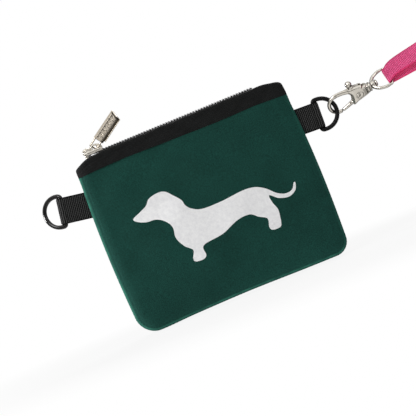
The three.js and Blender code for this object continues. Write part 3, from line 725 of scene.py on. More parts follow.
def outer_depth(x, z):
    """Half thickness of the filled pouch."""
    across = 1 - (x / straight_edge(z)) ** 2
    full = TOP_DEPTH + BELLY * across * np.sin(np.pi * np.clip(z / TOP, 0, 1) ** 0.8)
    return RIM + (full - RIM) * roll_in(inset(x, z) / ROLL)


def sag(x, z):
    """The bottom edge isn't quite straight: it dips at the left corner and lifts in the middle."""
    return (-0.7 * bell(x, -50, 13) + 0.6 * bell(x, 2, 26)) * (1 - smooth_step(z / 34))


def panel_depth(x, z, facing):
    """Depth of a panel's outer face from the middle plane, before the small relief."""
    depth = outer_depth(x, z)
    if facing == BACK:
        depth = capped(depth, BACK_FLAT)
    slow = 0.22 * ripple(x, z, 3 if facing == FRONT else 5) * smooth_step(inset(x, z) / 12)
    under_band = 0.75 * smooth_step((z - BAND_BOTTOM + 0.7) / 1.6)
    return depth + slow - under_band


def pucker(x, z, seed):
    """Small slanting puckers where the edge seam draws the foam in."""
    deep, s = inset(x, z), around(x, z)
    slant = s + 0.8 * deep + 0.5 * ripple(s, s * 0, seed, (9, 14, 23), 5)
    strength = 0.55 + 0.45 * ripple(s, deep, seed + 1, (11, 19, 31), 6)
    ridge = np.sin(2 * math.pi * slant / 1.9)
    return 0.11 * ridge * np.clip(strength, 0, 1.3) * bell(deep, 1.6, 1.9) - 0.16 * bell(deep, 2.4, 0.6)


def painted_rim_highlight(x, z):
    """Painted highlight over the rim, where light from the left falls on it: most at the left, a thin line
    below, least at the right.
    """
    deep, s = inset(x, z), around(x, z)
    left, right = smooth_step((-s - 54) / 14), smooth_step((s - 54) / 10)
    uneven = 0.75 + 0.25 * ripple(s, deep, 31, (7, 12, 19), 6)
    soft, line = 0.42 * bell(deep, 0.4, 1.0), 0.55 * 0.85 * bell(deep, 1.1, 0.42)
    return np.clip(uneven * (left * soft + (1 - left) * (1 - 0.7 * right) * line), 0, 1)


def toward_seam(line, facing, share, pull):
    """An edge of a panel, moved a share of the way to the seam and pulled in to the panel's middle."""
    out = line.copy()
    out[..., 1] += (SEAM_Y + facing * SEAM_GAP - line[..., 1]) * share
    inwards = unit(np.array([0.0, 0.0, 45.0]) - line) * pull
    out[..., 0] += inwards[..., 0]
    out[..., 2] += inwards[..., 2]
    return out


def panel_piece(name, facing, node):
    """A panel with rows that are closer at the bottom, and a rim turned in to the seam line."""
    rows = np.concatenate([np.linspace(0, 1, 40) ** 1.7 * 14, np.linspace(14, PANEL_TOP, 122)[1:]])[:, None]
    even = np.linspace(0, 1, 251)
    spread = 0.75 * (1 - np.cos(math.pi * even)) / 2 + 0.25 * even
    left, right = edge_x("left", rows), edge_x("right", rows)
    x = left + (right - left) * spread
    # Near its ends the band's top line falls away, and the rows fall with it.
    drop = np.maximum(PANEL_TOP + 1.4 - np.interp(x, *band_line()), 0)
    z = rows - drop * np.clip((rows - 50) / (PANEL_TOP - 50), 0, 1) ** 2
    outer = np.stack([x, facing * panel_depth(x, z, facing), z + sag(x, z)], -1)
    outer += grid_normals(outer, (0, facing, 0)) * pucker(x, z, 11 if facing == FRONT else 21)[..., None]
    for share, pull in ((0.45, 0.12), (0.8, 0.25), (1.0, 0.45)):
        ends = [toward_seam(column, facing, share, pull) for column in (outer[:, :1], outer[:, -1:])]
        outer = np.concatenate([ends[0], outer, ends[1]], 1)
        outer = np.concatenate([toward_seam(outer[:1], facing, share, pull), outer], 0)
    inner = outer.copy()
    inner[..., 1] = SEAM_Y + facing * np.maximum(np.abs(outer[..., 1] - SEAM_Y) - NEOPRENE, 0.05)
    # Painted highlight along the rim, fainter on the turned-in edges.
    rim_highlight = np.pad(painted_rim_highlight(x, z), ((3, 0), (3, 3)), mode="edge")
    rim_highlight[:3], rim_highlight[:, -3:] = rim_highlight[:3] * 0.3, rim_highlight[:, -3:] * 0.3
    mesh = solid(name, sheet_data(outer, inner))
    set_values(mesh, "rim", np.concatenate([rim_highlight, rim_highlight * 0]))
    place(name, mesh, NEOPRENE_LOOK, "pouch", (node,))


panel_piece("neoprene_front", FRONT, "front_panel")
panel_piece("neoprene_back", BACK, "back_panel")

# ---- Print ----

DOG_OUTLINE = [
    (-42, 60.8), (-37.5, 62.8), (-33, 64.8), (-30, 67.8), (-25, 69), (-20.5, 68.2), (-17, 64.5),
    (-13.8, 60.5), (-13, 57.2), (-10.5, 54.2), (-5, 51.8), (6, 51.6), (18, 52.6), (25, 52),
    (30.5, 49.2), (35.5, 44.4), (40, 42.3), (44, 43), (46.3, 46.2), (47, 45.4), (45.3, 41.8),
    (41, 40), (35.5, 41.4), (31.2, 44.8), (31.4, 40.5), (32.8, 36), (32.2, 31), (31, 27),
    (28, 26.3), (25.4, 27), (24.8, 29), (25.6, 33.4), (21.5, 36.2), (17.4, 39.2), (10, 38.8),
    (0, 35), (-11.8, 33.2), (-12.6, 28), (-14.6, 26.2), (-19.2, 26.6), (-19.9, 28.8), (-18.2, 33),
    (-21.8, 36.8), (-24.4, 42.6), (-23.8, 48.6), (-26.2, 53), (-30.6, 55.9), (-36, 56.6), (-40.5, 58.6),
]


def print_piece():
    """The silver dog, cut from film and pressed on the front."""
    flat, faces, _ = filled(resample(spline(DOG_OUTLINE, 10), 0.45, closed=True), 1.2)
    x, z = flat[:, 0], flat[:, 1]
    lift = panel_depth(x, z, FRONT) + 0.04 + 0.012 * ripple(x, z, 41, (3, 5, 7), 8)
    points, skin = closed_fill(np.stack([x, z + sag(x, z)], 1), faces, lift + 0.05, lift - 0.3)
    mesh = solid("dog_print", (np.stack([points[:, 0], -points[:, 2], points[:, 1]], 1), skin))
    mesh.set_sharp_from_angle(angle=math.radians(40))
    place("dog_print", mesh, FILM_LOOK, "pouch", ("animal_print",))


print_piece()

# ---- Band ----

BAND_SAG = ([-61, -48, -33, -8, 20, 42, 62], [0.1, 0.75, 1.05, 0.45, -0.1, 0.3, -0.55])


def band_section(x, bottom, top, facing):
    """The fold of tape at one x: outer leg, rounded fold, inner leg. y is the depth, for either facing."""
    tall = top - bottom
    fold = min(1.7, 0.45 * tall)
    leg, bend, tail = np.linspace(0, 1, 60), np.linspace(0, math.pi, 22)[1:], np.linspace(0, 1, 10)[1:]
    z = bottom + (tall - fold) * leg
    depth = outer_depth(np.full(len(z), x), z) + BAND_PROUD
    if facing == BACK:
        depth = capped(depth, BACK_FLAT + 0.3)
    inner = 1.25 + 1.25 * smooth_step(min(HALF_WIDTH - abs(x), 6) / 6)
    half, centre = (depth[-1] - inner) / 2, (depth[-1] + inner) / 2
    y = np.concatenate([depth - 0.22 * bell(leg, 0.02, 0.05), centre + half * np.cos(bend),
                        np.full(len(tail), inner)])
    z = np.concatenate([z, top - fold + fold * np.sin(bend), top - fold - (tall - fold) * 0.9 * tail])
    return np.column_stack([np.full(len(z), x), y, z])


def band_relief(x, up, bottoms, tops, facing):
    """A sewn ridge below the fold, a stitch line near the lower edge, slow waves and puckers."""
    seam = tops - 3.0 + 0.15 * ripple(x, x * 0, 61, (17, 29), 4)
    ridge = -0.16 * bell(up, seam, 0.45) + 0.10 * bell(up, seam - 0.9, 0.5)
    stitches = -0.12 * bell(up, bottoms + 1.3, 0.32)
    waves = 0.10 * ripple(x, up * 2.0, 62 if facing == FRONT else 63, (6, 10, 17, 27), 9)
    puckers = 0.05 * np.sin(2 * math.pi * (x + 0.5 * up) / 2.1) * bell(up, seam, 1.6)
    return (ridge + stitches + waves + puckers) * smooth_step((tops - bottoms - 1.0) / 3.0)


def band_piece(name, facing, node):
    """Binding tape folded over the panel's top edge."""
    xs, tops = band_line()
    bottoms = np.minimum(BAND_BOTTOM + np.interp(xs, *BAND_SAG), tops - 0.6)
    outer = np.array([band_section(x, bottom, top, facing) for x, bottom, top in zip(xs, bottoms, tops)])
    length = run_length(outer)
    outer[..., 1] *= facing
    normal = grid_normals(outer, (0, facing, 0))
    x = outer[..., 0]
    on_leg = smooth_step((outer[..., 1] * facing - 3.2) / 1.0)
    relief = band_relief(x, outer[..., 2], bottoms[:, None], tops[:, None], facing) * on_leg
    outer = outer + normal * relief[..., None]
    inner = outer - normal * BAND_THICK
    # The ends turn in to the side seams.
    for share, pull in ((0.35, 0.02), (0.7, 0.1), (1.0, 0.35)):
        grids = []
        for grid in (outer, inner):
            ends = grid[:1].copy(), grid[-1:].copy()
            for end, toward in zip(ends, (1, -1)):
                end[..., 1] += (SEAM_Y + facing * SEAM_GAP - end[..., 1]) * share
                end[..., 0] += toward * pull
            grids.append(np.concatenate([ends[0], grid, ends[1]]))
        outer, inner = grids
        x, length = (np.concatenate([values[:1], values, values[-1:]]) for values in (x, length))
    mesh = solid(name, sheet_data(outer, inner))
    set_uv(mesh, x, length)
    place(name, mesh, BINDING_LOOK, "pouch", (node,))


band_piece("band_front", FRONT, "binding_front")
band_piece("band_back", BACK, "binding_back")

# ---- Zip ----


def tape_piece(name, node):
    """A thin fabric strip standing in the XZ plane, with rounded edges and a slight wave."""
    (x0, y0, z0), (x1, y1, z1) = span(node)
    step, rounding = 0.5, 0.2
    xs, zs = np.arange(x0, x1 + step / 2, step), np.arange(z0, z1 + step / 2, step)
    xs[-1], zs[-1] = x1, z1
    x, z = np.meshgrid(xs, zs, indexing="ij")
    near = np.minimum(np.minimum(x - x0, x1 - x), np.minimum(z - z0, z1 - z))
    half = (y1 - y0) / 2 * (0.35 + 0.65 * roll_in(near / rounding))
    middle = (y0 + y1) / 2 + 0.04 * ripple(x, z, 71, (9, 13, 21), 5)
    mesh = solid(name, sheet_data(np.stack([x, middle - half, z], -1), np.stack([x, middle + half, z], -1)))
    set_uv(mesh, x, z)
    place(name, mesh, TAPE_LOOK, "pouch", (node,))


def coil_piece(name, facing, node):
    """A wound coil: each turn runs from the tape over the middle, where it has a head, and back."""
    low, high = span(node)
    wire = 0.36 if facing == FRONT else 0.3
    near, far = (low[1], high[1]) if facing == BACK else (-high[1], -low[1])
    back, tip = far - wire, -near - wire + 0.35
    drop = 0.32 if facing == BACK else 0
    middle, rise = (low[2] + high[2] - drop) / 2, (high[2] - low[2] - drop) / 2 - wire
    turns = int((high[0] - low[0] - 0.8) / TOOTH_PITCH)
    start = low[0] + 0.7 + (TOOTH_PITCH / 2 if facing == BACK else 0)
    t = np.linspace(0, turns - 0.5, turns * 18)
    sin, cos = (np.sign(v) * np.abs(v) ** 0.55 for v in (np.sin(2 * math.pi * t), np.cos(2 * math.pi * t)))
    reach = (back - tip) / 2 + (back + tip) / 2 * cos
    x = start + TOOTH_PITCH * (t + 0.12 * np.sin(4 * math.pi * t))
    centre = np.column_stack([x, facing * reach, middle + rise * sin])
    data = wire_data(centre, wire, (1.0, 0, 0), 9, 1 + 0.30 * bell(reach, tip, 0.5))
    place(name, solid(name, data), TEETH_LOOK, "pouch", (node,))


for word, facing in (("front", FRONT), ("back", BACK)):
    tape_piece("tape_" + word, "zip_tape_" + word)
    coil_piece("coil_" + word, facing, "zip_teeth_" + word)
    stop = cast("top_stop_" + word, [cad_data("zip_top_stop_" + word)], 0.1, 4)
    place("top_stop_" + word, stop, TEETH_LOOK, "pouch", ("zip_top_stop_" + word,))


def bottom_stop():
    """A low black clip, pinched over both tapes."""
    low, high = span("zip_bottom_stop")
    x0, x1, half = low[0] + 0.2, high[0] - 0.2, 1.9
    lid = np.array([[x0, -half], [x1, -half], [x1, half], [x0, half]])
    legs = [prism(lid * [1, 0.22] + [0, y], low[2] + 0.1, TOP - 0.1) for y in (-2.0, 2.0)]
    mesh = cast("bottom_stop", [prism(lid * [1, 1.25], TOP - 0.75, TOP + 0.15), *legs], 0.1, 5)
    place("bottom_stop", mesh, STOP_LOOK, "pouch", ("zip_bottom_stop",))


def end_tab():
    """Fabric folded over the zip's end, with its cut edges tucked between the bindings."""
    low, high = span("zip_end_tab")
    end_x, foot = 59.6, 1.2
    angle = np.linspace(-0.5, math.pi + 0.5, 40)
    leg = np.linspace(0, 1, 12)[:, None]
    sections = []
    for x in np.linspace(low[0], end_x, 44):
        t = (x - low[0]) / (end_x - low[0])
        top = float(np.interp(x, *band_line())) + 0.32 - 0.15 * t
        half = 1.45 + 0.08 * math.sin(7 * t)
        arch = np.column_stack([np.full(len(angle), x), half * np.cos(angle),
                                top - half * 0.8 + half * 0.8 * np.sin(angle)])
        back = arch[0] * (1 - leg) + np.array([x, foot, low[2]]) * leg
        front = arch[-1] * (1 - leg) + np.array([x, -foot, low[2]]) * leg
        sections.append(np.concatenate([back[::-1][:-1], arch, front[1:]]))
    outer = np.array(sections)
    inner = outer.copy()
    inner[..., 1] *= 0.55
    inner[..., 2] -= 0.55 * (outer[..., 2] > high[2] - 3)
    mesh = solid("end_tab", sheet_data(outer, inner))
    set_uv(mesh, outer[..., 0], run_length(outer))
    place("end_tab", mesh, BINDING_LOOK, "pouch", ("zip_end_tab",))


bottom_stop()
end_tab()

# ---- Slider and pull ----


def slider_pieces():
    """The slider: its CAD body rounded off, with a rolled hump over the nose, a rail each side and an arch.
    """
    low, high = span("slider_body")
    nose, tail, top = low[0], high[0], high[2]
    foot = top - 2.2
    hump = open_curve([(nose + 0.15, top - 1.8), (nose + 0.3, top - 1.0), (nose + 1.1, top - 0.25),
                       (nose + 2.5, top + 0.05), (nose + 3.7, top - 0.35), (nose + 4.2, top - 1.2)])
    ridge = moved(plane_tube(hump, 0.55, 16), (1, 3.1, 1), upright=True)
    edges = [[(nose + 1.6, side * 3.75), (tail - 0.8, side * 3.45)] for side in (-1, 1)]
    rails = [moved(plane_tube(edge, 0.42, 12), shift=(0, 0, foot)) for edge in edges]
    mesh = cast("slider_cast", [cad_data("slider_body"), ridge, *rails], 0.1, 7)
    place("slider_cast", mesh, SLIDER_LOOK, "slider", ("slider_body",))

    low, high = span("slider_bridge")
    x0, x1, up = low[0] - 0.2, high[0] + 0.2, high[2]
    line = open_curve([(x0, foot), (x0 + 0.15, top - 1.0), (x0 + 0.9, up - 0.8), (x0 + 2.3, up - 0.15),
                       (x0 + 3.8, up - 0.05), (x1 - 1.0, up - 0.8), (x1 - 0.15, top - 1.0), (x1, foot)])
    arch = moved(plane_tube(line, 0.52, 16), (1, 1.75, 1), upright=True)
    pivot = joint_place("pull_swing")[0][0]
    webs = [moved(prism(shape, -0.75, 0.75), upright=True) for shape in (
        [(x0, foot), (pivot - 1.2, foot), (pivot - 1.0, up - 1.2), (x0 + 0.9, up - 1.0)],
        [(pivot + 1.2, foot), (x1, foot), (x1 - 0.6, up - 1.4), (pivot + 1.0, up - 0.6)])]
    mesh = cast("slider_arch", [arch, *webs], 0.08, 4)
    place("slider_arch", mesh, SLIDER_LOOK, "slider", ("slider_bridge",))


def pull_frame():
    """The pull's own frame, x along it and y across it, and its CAD points from the pivot."""
    pivot, _ = joint_place("pull_swing")
    points = cad_data("pull_tab")[0] - pivot
    far = points[np.argsort(np.linalg.norm(points, axis=1))[-8:]].mean(0)
    axes = np.linalg.svd(points - points.mean(0), full_matrices=False)[2]
    along = axes[0] if axes[0] @ far > 0 else -axes[0]
    across = axes[1] if axes[1][2] > 0 else -axes[1]
    return frame_matrix(pivot, along, across, np.cross(along, across)), points @ along, points @ across


def pull_piece():
    """A pressed pull: frame round a window, then a plate with rims, a sunk face and a plain rope pattern."""
    in_row, along, across = pull_frame()
    u_start, u_end = 4.5, along.max() + 1.3
    v_low, v_high = across.min() - 0.5, across.max() + 0.35
    half, skew = 0.95, 0.21
    rim_low, rim_tip, rim_base = 0.4, 0.5, 1.0
    upper = v_high - 1.9  # where the broad upper rim meets the sunk face
    rope_height, sink = 0.42, 0.52

    def skewed(u, v):
        """The plate's far end is cut at a slant, and its base is square."""
        return u - skew * (v_high - v) * (1.1 * (u - u_start) / (u_end - u_start) - 0.1)

    u, v = np.meshgrid(np.linspace(u_start, u_end, 170), np.linspace(v_low, v_high, 84), indexing="ij")
    near = np.minimum(np.minimum(u - u_start, u_end - u), np.minimum(v - v_low, v_high - v))
    inside = np.minimum(np.minimum(u - u_start - rim_base, u_end - rim_tip - u),
                        np.minimum(v - v_low - rim_low, upper - v))
    sunk = smooth_step(inside / 0.3)
    middle, reach = (v_low + rim_low + upper) / 2, (upper - v_low - rim_low) / 2
    rope = np.abs(np.sin(math.pi * (u / 2.3 + 0.16 * np.sin(2.6 * (v - middle))) + 0.55 * (v - middle)))
    rope = rope_height * rope ** 0.8 * np.clip(1.15 - np.abs(v - middle) / reach, 0, 1) ** 0.5
    slope = 0.35 * np.clip((v_high - 0.3 - v) / (v_high - upper - 0.3), 0, 1) * (v > upper)
    groove = 0.34 * bell(v, upper - 0.12, 0.16) * smooth_step((u - u_start - 0.6) / 0.6)
    skin = half * (0.55 + 0.45 * roll_in(near / 0.35)) - sunk * (sink - rope) - groove - slope
    plate = sheet_data(*(np.stack([skewed(u, v), v, side * skin], -1) for side in (1, -1)))
    # Antique finish in the groove and the sunk face; painted shade down the lower side and across the tip.
    antique_and_shade = 0.7 * bell(v, upper - 0.15, 0.4) + 0.75 * sunk * (1 - rope / rope_height) ** 2
    antique_and_shade = antique_and_shade + 0.95 * bell(v, v_low + 0.35, 0.42) + 0.9 * bell(u, u_end - 0.9, 0.45) * (v < upper + 0.9)

    # A thin flange stands out along the lower side, level with the back.
    flange, start, thin = v_low - 1.25, u_start + 1.6, 0.26
    u, v = np.meshgrid(np.linspace(start, u_end, 90), np.linspace(flange, v_low + 1.0, 24), indexing="ij")
    near = np.minimum(np.minimum(u - start, u_end - u), v - flange)
    skin = thin * (0.4 + 0.6 * roll_in(near / thin))
    ledge = sheet_data(*(np.stack([skewed(u, v), v, 0.25 - half + side * skin], -1) for side in (1, -1)))
    bar = plane_tube([(0.0, v_low + 0.6), (0.0, v_high - 0.4)], 0.5, 16)
    arms = [plane_tube(open_curve([(-0.05, y), (1.3, y), (2.4, y), (u_start + 0.7, y)], 6), 0.45, 16)
            for y in (v_low + 0.88, v_high - 0.7)]

    mesh = solid("pull_plate", turned(joined([plate, ledge, bar, *arms]), in_row))
    # The mesh carries the antique finish and the painted shade to the look.
    patina_and_shade = np.zeros(len(mesh.vertices))
    patina_and_shade[:2 * antique_and_shade.size] = np.tile(np.clip(antique_and_shade, 0, 0.95).ravel(), 2)
    set_values(mesh, "patina_and_shade", patina_and_shade)
    mesh.set_sharp_from_angle(angle=math.radians(50))
    place("pull_plate", mesh, PULL_LOOK, "pull", ("pull_tab",))


slider_pieces()
pull_piece()

# ---- Tabs and rings ----

TAB = {"width": 14.6, "thick": 1.2, "rib": 1.0, "column": 0.95, "depth": 0.3, "seed": 80}
TAB_REACH = {"left": 13.8, "right": 10.0}  # from the ring's bar to the seam
SLEEVE = 1.45 + TAB["thick"] / 2
RING = {"wire": 1.2, "half": 8.5, "corner": 1.5, "centre": 2.65}
RING_LEAN = {"left": 20, "right": 0}


def tab_frame(side):
    """Origin at the middle of the ring's bar, x outwards, y across the webbing, z to the front."""
    bar, across = joint_place(side + "_ring_swing")
    out = np.cross(across, TO_FRONT)
    if out[0] * bar[0] < 0:
        out, across = -out, -across
    return bar, unit(out), unit(across)


def webbing(name, path, across, weave, material, body, node):
    """Woven strip along a path: ribs across the width, each broken into dashes."""
    half = weave["width"] / 2
    lines = np.linspace(-half, half, int(weave["width"] / weave["column"] * 6) | 1)
    across = np.broadcast_to(across, path.shape)
    normals = unit(np.cross(unit(np.gradient(path, axis=0)), across))[:, None]
    s, v = np.meshgrid(run_length(path), lines, indexing="ij")
    edge = half - np.abs(v)
    slim = 0.4 + 0.6 * roll_in(edge / 0.7)
    phase = np.random.default_rng(weave["seed"]).uniform(0, 6)
    bend = 0.07 * np.sin(2 * math.pi * v / 6.1 + phase) + 0.03 * ripple(s, v, weave["seed"], (4, 7), 4)
    ridge = np.sin(math.pi * (s / weave["rib"] + bend)) ** 2
    selvedge = smooth_step((edge - 0.35) / 0.5)
    skins, rises = [], []
    for sign, shift in ((1, 0), (-1, 0.7)):
        dash = 0.5 + 0.5 * np.cos(2 * math.pi * v / weave["column"] + shift)
        rise = ridge * (0.62 + 0.38 * dash) * selvedge + 0.15 * (1 - selvedge)
        height = sign * (weave["thick"] / 2 * slim - weave["depth"] + weave["depth"] * rise)
        skins.append(path[:, None] + across[:, None] * v[..., None] + normals * height[..., None])
        rises.append(rise.ravel())
    mesh = solid(name, sheet_data(*skins))
    set_values(mesh, "rise", np.concatenate(rises))
    place(name, mesh, material, body, (node,))


def tab_piece(side):
    """Webbing wrapped round the ring's bar, its two legs lying together as far as the seam."""
    bar, out, across = tab_frame(side)
    leg = TAB["thick"] / 2 + 0.05
    reach, wrap = TAB_REACH[side], 128
    loop = arc(0, 0, SLEEVE, -wrap, wrap, 90)
    leave = [loop[0], (-reach * 0.42, -leg * 1.25), (-reach * 0.62, -leg), (-reach - 3.5, -leg)]
    first = open_curve(leave, 24)[::-1]
    second = first[::-1] * np.array([1, -1])
    flat = resample(np.concatenate([first[:-1], loop, second[1:]]), 0.125)
    path = bar + flat[:, :1] * out + flat[:, 1:] * TO_FRONT
    webbing("webbing_" + side, path, across, TAB, TAB_LOOK, "pouch", "tab_" + side)


def ring_piece(side):
    bar, out, across = tab_frame(side)
    lean = math.radians(RING_LEAN[side])
    half, corner = RING["half"], RING["corner"]
    flat = np.concatenate([
        arc(corner, -(half - corner), corner, 180, 270, 12)[:-1],
        arc(RING["centre"], 0, half, -90, 90, 70),
        arc(corner, half - corner, corner, 90, 180, 12)[1:],
    ])
    leaning = out * math.cos(lean) - TO_FRONT * math.sin(lean)
    tube = plane_tube(resample(flat, 0.35, closed=True), RING["wire"], 22, closed=True)
    mesh = solid("ring_" + side, turned(tube, frame_matrix(bar, leaning, across, np.cross(leaning, across))))
    place("ring_" + side, mesh, RING_LOOKS[side], "ring_" + side, ("d_ring_" + side,))


for side in ("left", "right"):
    tab_piece(side)
    ring_piece(side)

# ---- Clasp: worked out flat, x along it and y up, and set in its place by CLASP ----

CLASP_AT, CLASP_ALONG = joint_place("eye_swivel")
CLASP_OUT = -joint_place("gate_lever")[1]
CLASP = frame_matrix(CLASP_AT, CLASP_ALONG, np.cross(CLASP_OUT, CLASP_ALONG), CLASP_OUT)

HOOK_ARC = arc(-19.2, 0.6, 5.2, 84, 266, 60)
HOOK_WIRE = 1.08
RIVET = (-7.4, 0.2)
BODY_OUTLINE = [
    (-3.5, 4.5), (-5.1, 5.1), (-8.0, 5.75), (-11.2, 5.95), (-12.6, 5.6), (-12.7, 4.2), (-12.0, 3.2),
    (-11.4, 2.3), (-11.1, 0.9), (-11.3, -1.0), (-11.7, -2.6), (-11.9, -4.2), (-10.9, -4.8), (-8.9, -4.1),
    (-4.7, -3.2), (-1.5, -2.9), (-0.9, -1.5), (-0.9, 1.5), (-1.2, 3.0), (-2.1, 3.5), (-3.2, 3.5),
]
ARM_OUTLINE = [
    (-20.4, 6.85), (-18.8, 7.05), (-16.1, 6.8), (-13.2, 6.3), (-10.0, 5.8), (-9.4, 4.6), (-10.4, 3.3),
    (-12.0, 3.1), (-13.6, 3.6), (-15.6, 4.1), (-18.0, 4.5), (-20.2, 4.5), (-20.9, 5.6),
]
CHEEK_HALF = ([-12.5, -9.5, -4, -1], [1.7, 2.35, 2.45, 2.2])
ARM_HALF = ([-20, -15, -11.5, -9], [0.9, 1.05, 1.7, 2.2])
HUB_OUTLINE = [(-9.2, -1.2), (-6.8, -1.7), (-5.9, -0.4), (-6, 1.2), (-7.2, 2), (-8.6, 1.7)]
STEM_OUTLINE = [(-8.8, 1), (-5.7, 1.6), (-4.8, 4.9), (-6.2, 5.6), (-7.9, 6.2), (-8.4, 7.2), (-10.6, 7.2)]
GATE_ROD = [(-11.2, -3.1), (-12.4, -3.35), (-15, -3.88), (-17.6, -4.4)]
ROD_SLOPE = -0.204
COLLAR = [(-1.7, 0.3), (-1.7, 2.5), (-1.35, 2.85), (-0.55, 2.9), (-0.3, 2.45), (-0.05, 2.45), (0.2, 2.85),
          (0.75, 2.8), (0.95, 2.4), (0.95, 0.3)]
RIVET_DOME = [(-2.85, 0.05), (-2.82, 0.6), (-2.68, 1.0), (-2.45, 1.22), (-2.36, 1.22), (-2.36, 0.7),
              (2.36, 0.7), (2.36, 1.22), (2.45, 1.22), (2.68, 1.0), (2.82, 0.6), (2.85, 0.05)]
POST = [(-2.6, 0.2), (-2.6, 0.9), (1.0, 0.9), (3.6, 0.9), (3.98, 0.95), (3.98, 1.6), (4.1, 1.85), (4.7, 1.82),
        (5.05, 1.45), (5.2, 0.8), (5.22, 0.1)]
SPRING = {"turns": 1.6, "radius": 1.15, "wire": 0.12, "start": 0.3, "rise": 0.42}


def in_clasp(name, data, look, node):
    place(name, solid(name, turned(data, CLASP)), look, "clasp", (node,))


def clasp_body():
    """The hook, its arm and two cheeks, with a plain oval boss and a rib on the front cheek."""
    cheek = pillow(spline(BODY_OUTLINE, 5), CHEEK_HALF, 1.5, low=1.0)
    mirrored = frame_matrix((0, 0, 0), (1, 0, 0), (0, 1, 0), (0, 0, -1))
    spine = [(-4.4, -3.3), (-1.3, -2.6), (-1.3, 2.8), (-2.3, 2.9), (-3.2, 2.2), (-4.4, 1.8)]
    lid = [(-12.3, 4.3), (-11.2, 3.3), (-10.2, 3.4), (-10.7, 5.5), (-12.3, 5.5)]
    boss = plane_tube(arc(-6.7, -0.1, 1.9, 0, 342, 40), 0.32, 10, closed=True)
    rib = open_curve([(-8.9, -3.0), (-6.3, -2.75), (-3.6, -2.35), (-1.8, -2.1)])
    parts = [plane_tube(HOOK_ARC, HOOK_WIRE, 22), ball((*HOOK_ARC[-1], 0), HOOK_WIRE),
             pillow(spline(ARM_OUTLINE, 5), ARM_HALF, 1.25), cheek, turned(cheek, mirrored),
             prism(spine, -1.2, 1.2), prism(lid, -1.2, 1.2), moved(boss, (1, 1, 0.8), (0, 0, 2.35)),
             moved(plane_tube(rib, 0.33, 12), shift=(0, 0, 2.0)), lathe(COLLAR, 40)]
    mesh = cast("clasp_cast", [turned(part, CLASP) for part in parts], 0.11, 9)
    place("clasp_cast", mesh, NICKEL_LOOK, "clasp", ("clasp_body",))


def clasp_gate():
    """The lever: hub, thumb nub on its stem, knee, and the rod that closes the hook."""

    def on_rod(x):
        return x, GATE_ROD[1][1] + (x - GATE_ROD[1][0]) * ROD_SLOPE
    bands = [plane_tube([on_rod(x), on_rod(x - 0.35)], 1.12, 20) for x in (-12.6, -13.3)]
    parts = [prism(spline(HUB_OUTLINE, 5), -0.8, 0.1), prism(STEM_OUTLINE, -0.8, 0.8),
             prism([(-9, 0.6), (-12.4, -2.4), (-11.6, -4.1), (-8, -1.4)], -0.8, 0.1),
             ball((-9.7, 8.1, 0), 1.85, (1, 1.05, 1)),
             plane_tube([(-9.2, 5.6), (-9.4, 6.3), (-9.6, 7.0)], [1.75, 1.5, 1.4], 20),
             plane_tube(GATE_ROD, [1.1, 1.1, 1.08, 1.0], 20), ball((*GATE_ROD[-1], 0), 1.0), *bands]
    mesh = cast("gate_cast", [turned(part, CLASP) for part in parts], 0.1, 6)
    place("gate_cast", mesh, NICKEL_LOOK, "gate", ("clasp_gate",))


def clasp_small_parts():
    """The rivet across both cheeks, the spring round it, and the post that the eye turns on."""
    upright = frame_matrix((*RIVET, 0), (0, 0, 1), (1, 0, 0), (0, 1, 0))
    in_clasp("rivet_turned", turned(lathe(RIVET_DOME, 28), upright), NICKEL_LOOK, "gate_rivet")
    turns = np.linspace(0, SPRING["turns"], 60)
    angle = 2 * math.pi * turns
    ring = np.array(RIVET) + SPRING["radius"] * np.column_stack([np.cos(angle), np.sin(angle)])
    centre = np.column_stack([ring, SPRING["start"] + SPRING["rise"] * turns / SPRING["turns"]])
    wire = wire_data(centre, SPRING["wire"], (0, 0, 1.0), 8)
    in_clasp("spring_wire", wire, STEEL_LOOK, "gate_spring")
    in_clasp("swivel_pin", lathe(POST, 40), NICKEL_LOOK, "swivel_post")


clasp_body()
clasp_gate()
clasp_small_parts()

# ---- Eye and strap ----

STRAP_AT, EYE_UP = joint_place("strap_swing")
EYE_UP = EYE_UP if EYE_UP[2] > 0 else -EYE_UP
EYE_OUT = np.cross(CLASP_ALONG, EYE_UP)
EYE = frame_matrix(CLASP_AT, CLASP_ALONG, EYE_UP, EYE_OUT)
EYE_BAR = float((STRAP_AT - CLASP_AT) @ CLASP_ALONG)

STRAP = {"width": 9.8, "thick": 1.1, "rib": 0.8, "column": 0.8, "depth": 0.2, "seed": 90,
         "length": 66, "bulge": 12, "overlap": 20, "twist": 0.2, "lift": 2.3}
STRAP_FAR = EYE_BAR + STRAP["length"] - STRAP["bulge"]
STRAP_RISE = np.cross(TO_FRONT, CLASP_ALONG)
BAR_RADIUS = 0.9 + STRAP["thick"] / 2  # of the strap's middle line round the eye's bar
STITCH = {"pitch": 2.0, "half": 0.82, "radius": 0.22, "bow": 0.24}


def eye_piece():
    """A D of wire that is thicker on its sides, on a turned block."""
    corner, half, wire = 1.2, 5.9, 0.7
    side = open_curve([(2.2, 1.4), (3.2, 3.0), (4.6, 4.4), (6.8, 5.4), (8.6, 5.85)], 12)
    upper = np.concatenate([side, arc(EYE_BAR - corner, half - corner, corner, 90, 0, 12)])
    loop = resample(np.concatenate([upper, upper[::-1] * np.array([1, -1])]), 0.3)
    radius = wire + 0.22 * smooth_step((EYE_BAR - 1.6 - loop[:, 0]) / 2) + 0.2 * bell(loop[:, 0], 2.2, 1.6)
    block = lathe([(1.35, 1.0), (1.35, 2.0), (1.6, 2.25), (3.3, 2.3), (3.6, 2.1), (3.7, 1.0)], 36)
    mesh = cast("eye_wire", [turned(part, EYE) for part in (plane_tube(loop, radius, 18), block)], 0.13, 3)
    place("eye_wire", mesh, NICKEL_LOOK, "eye", ("swivel_eye",))


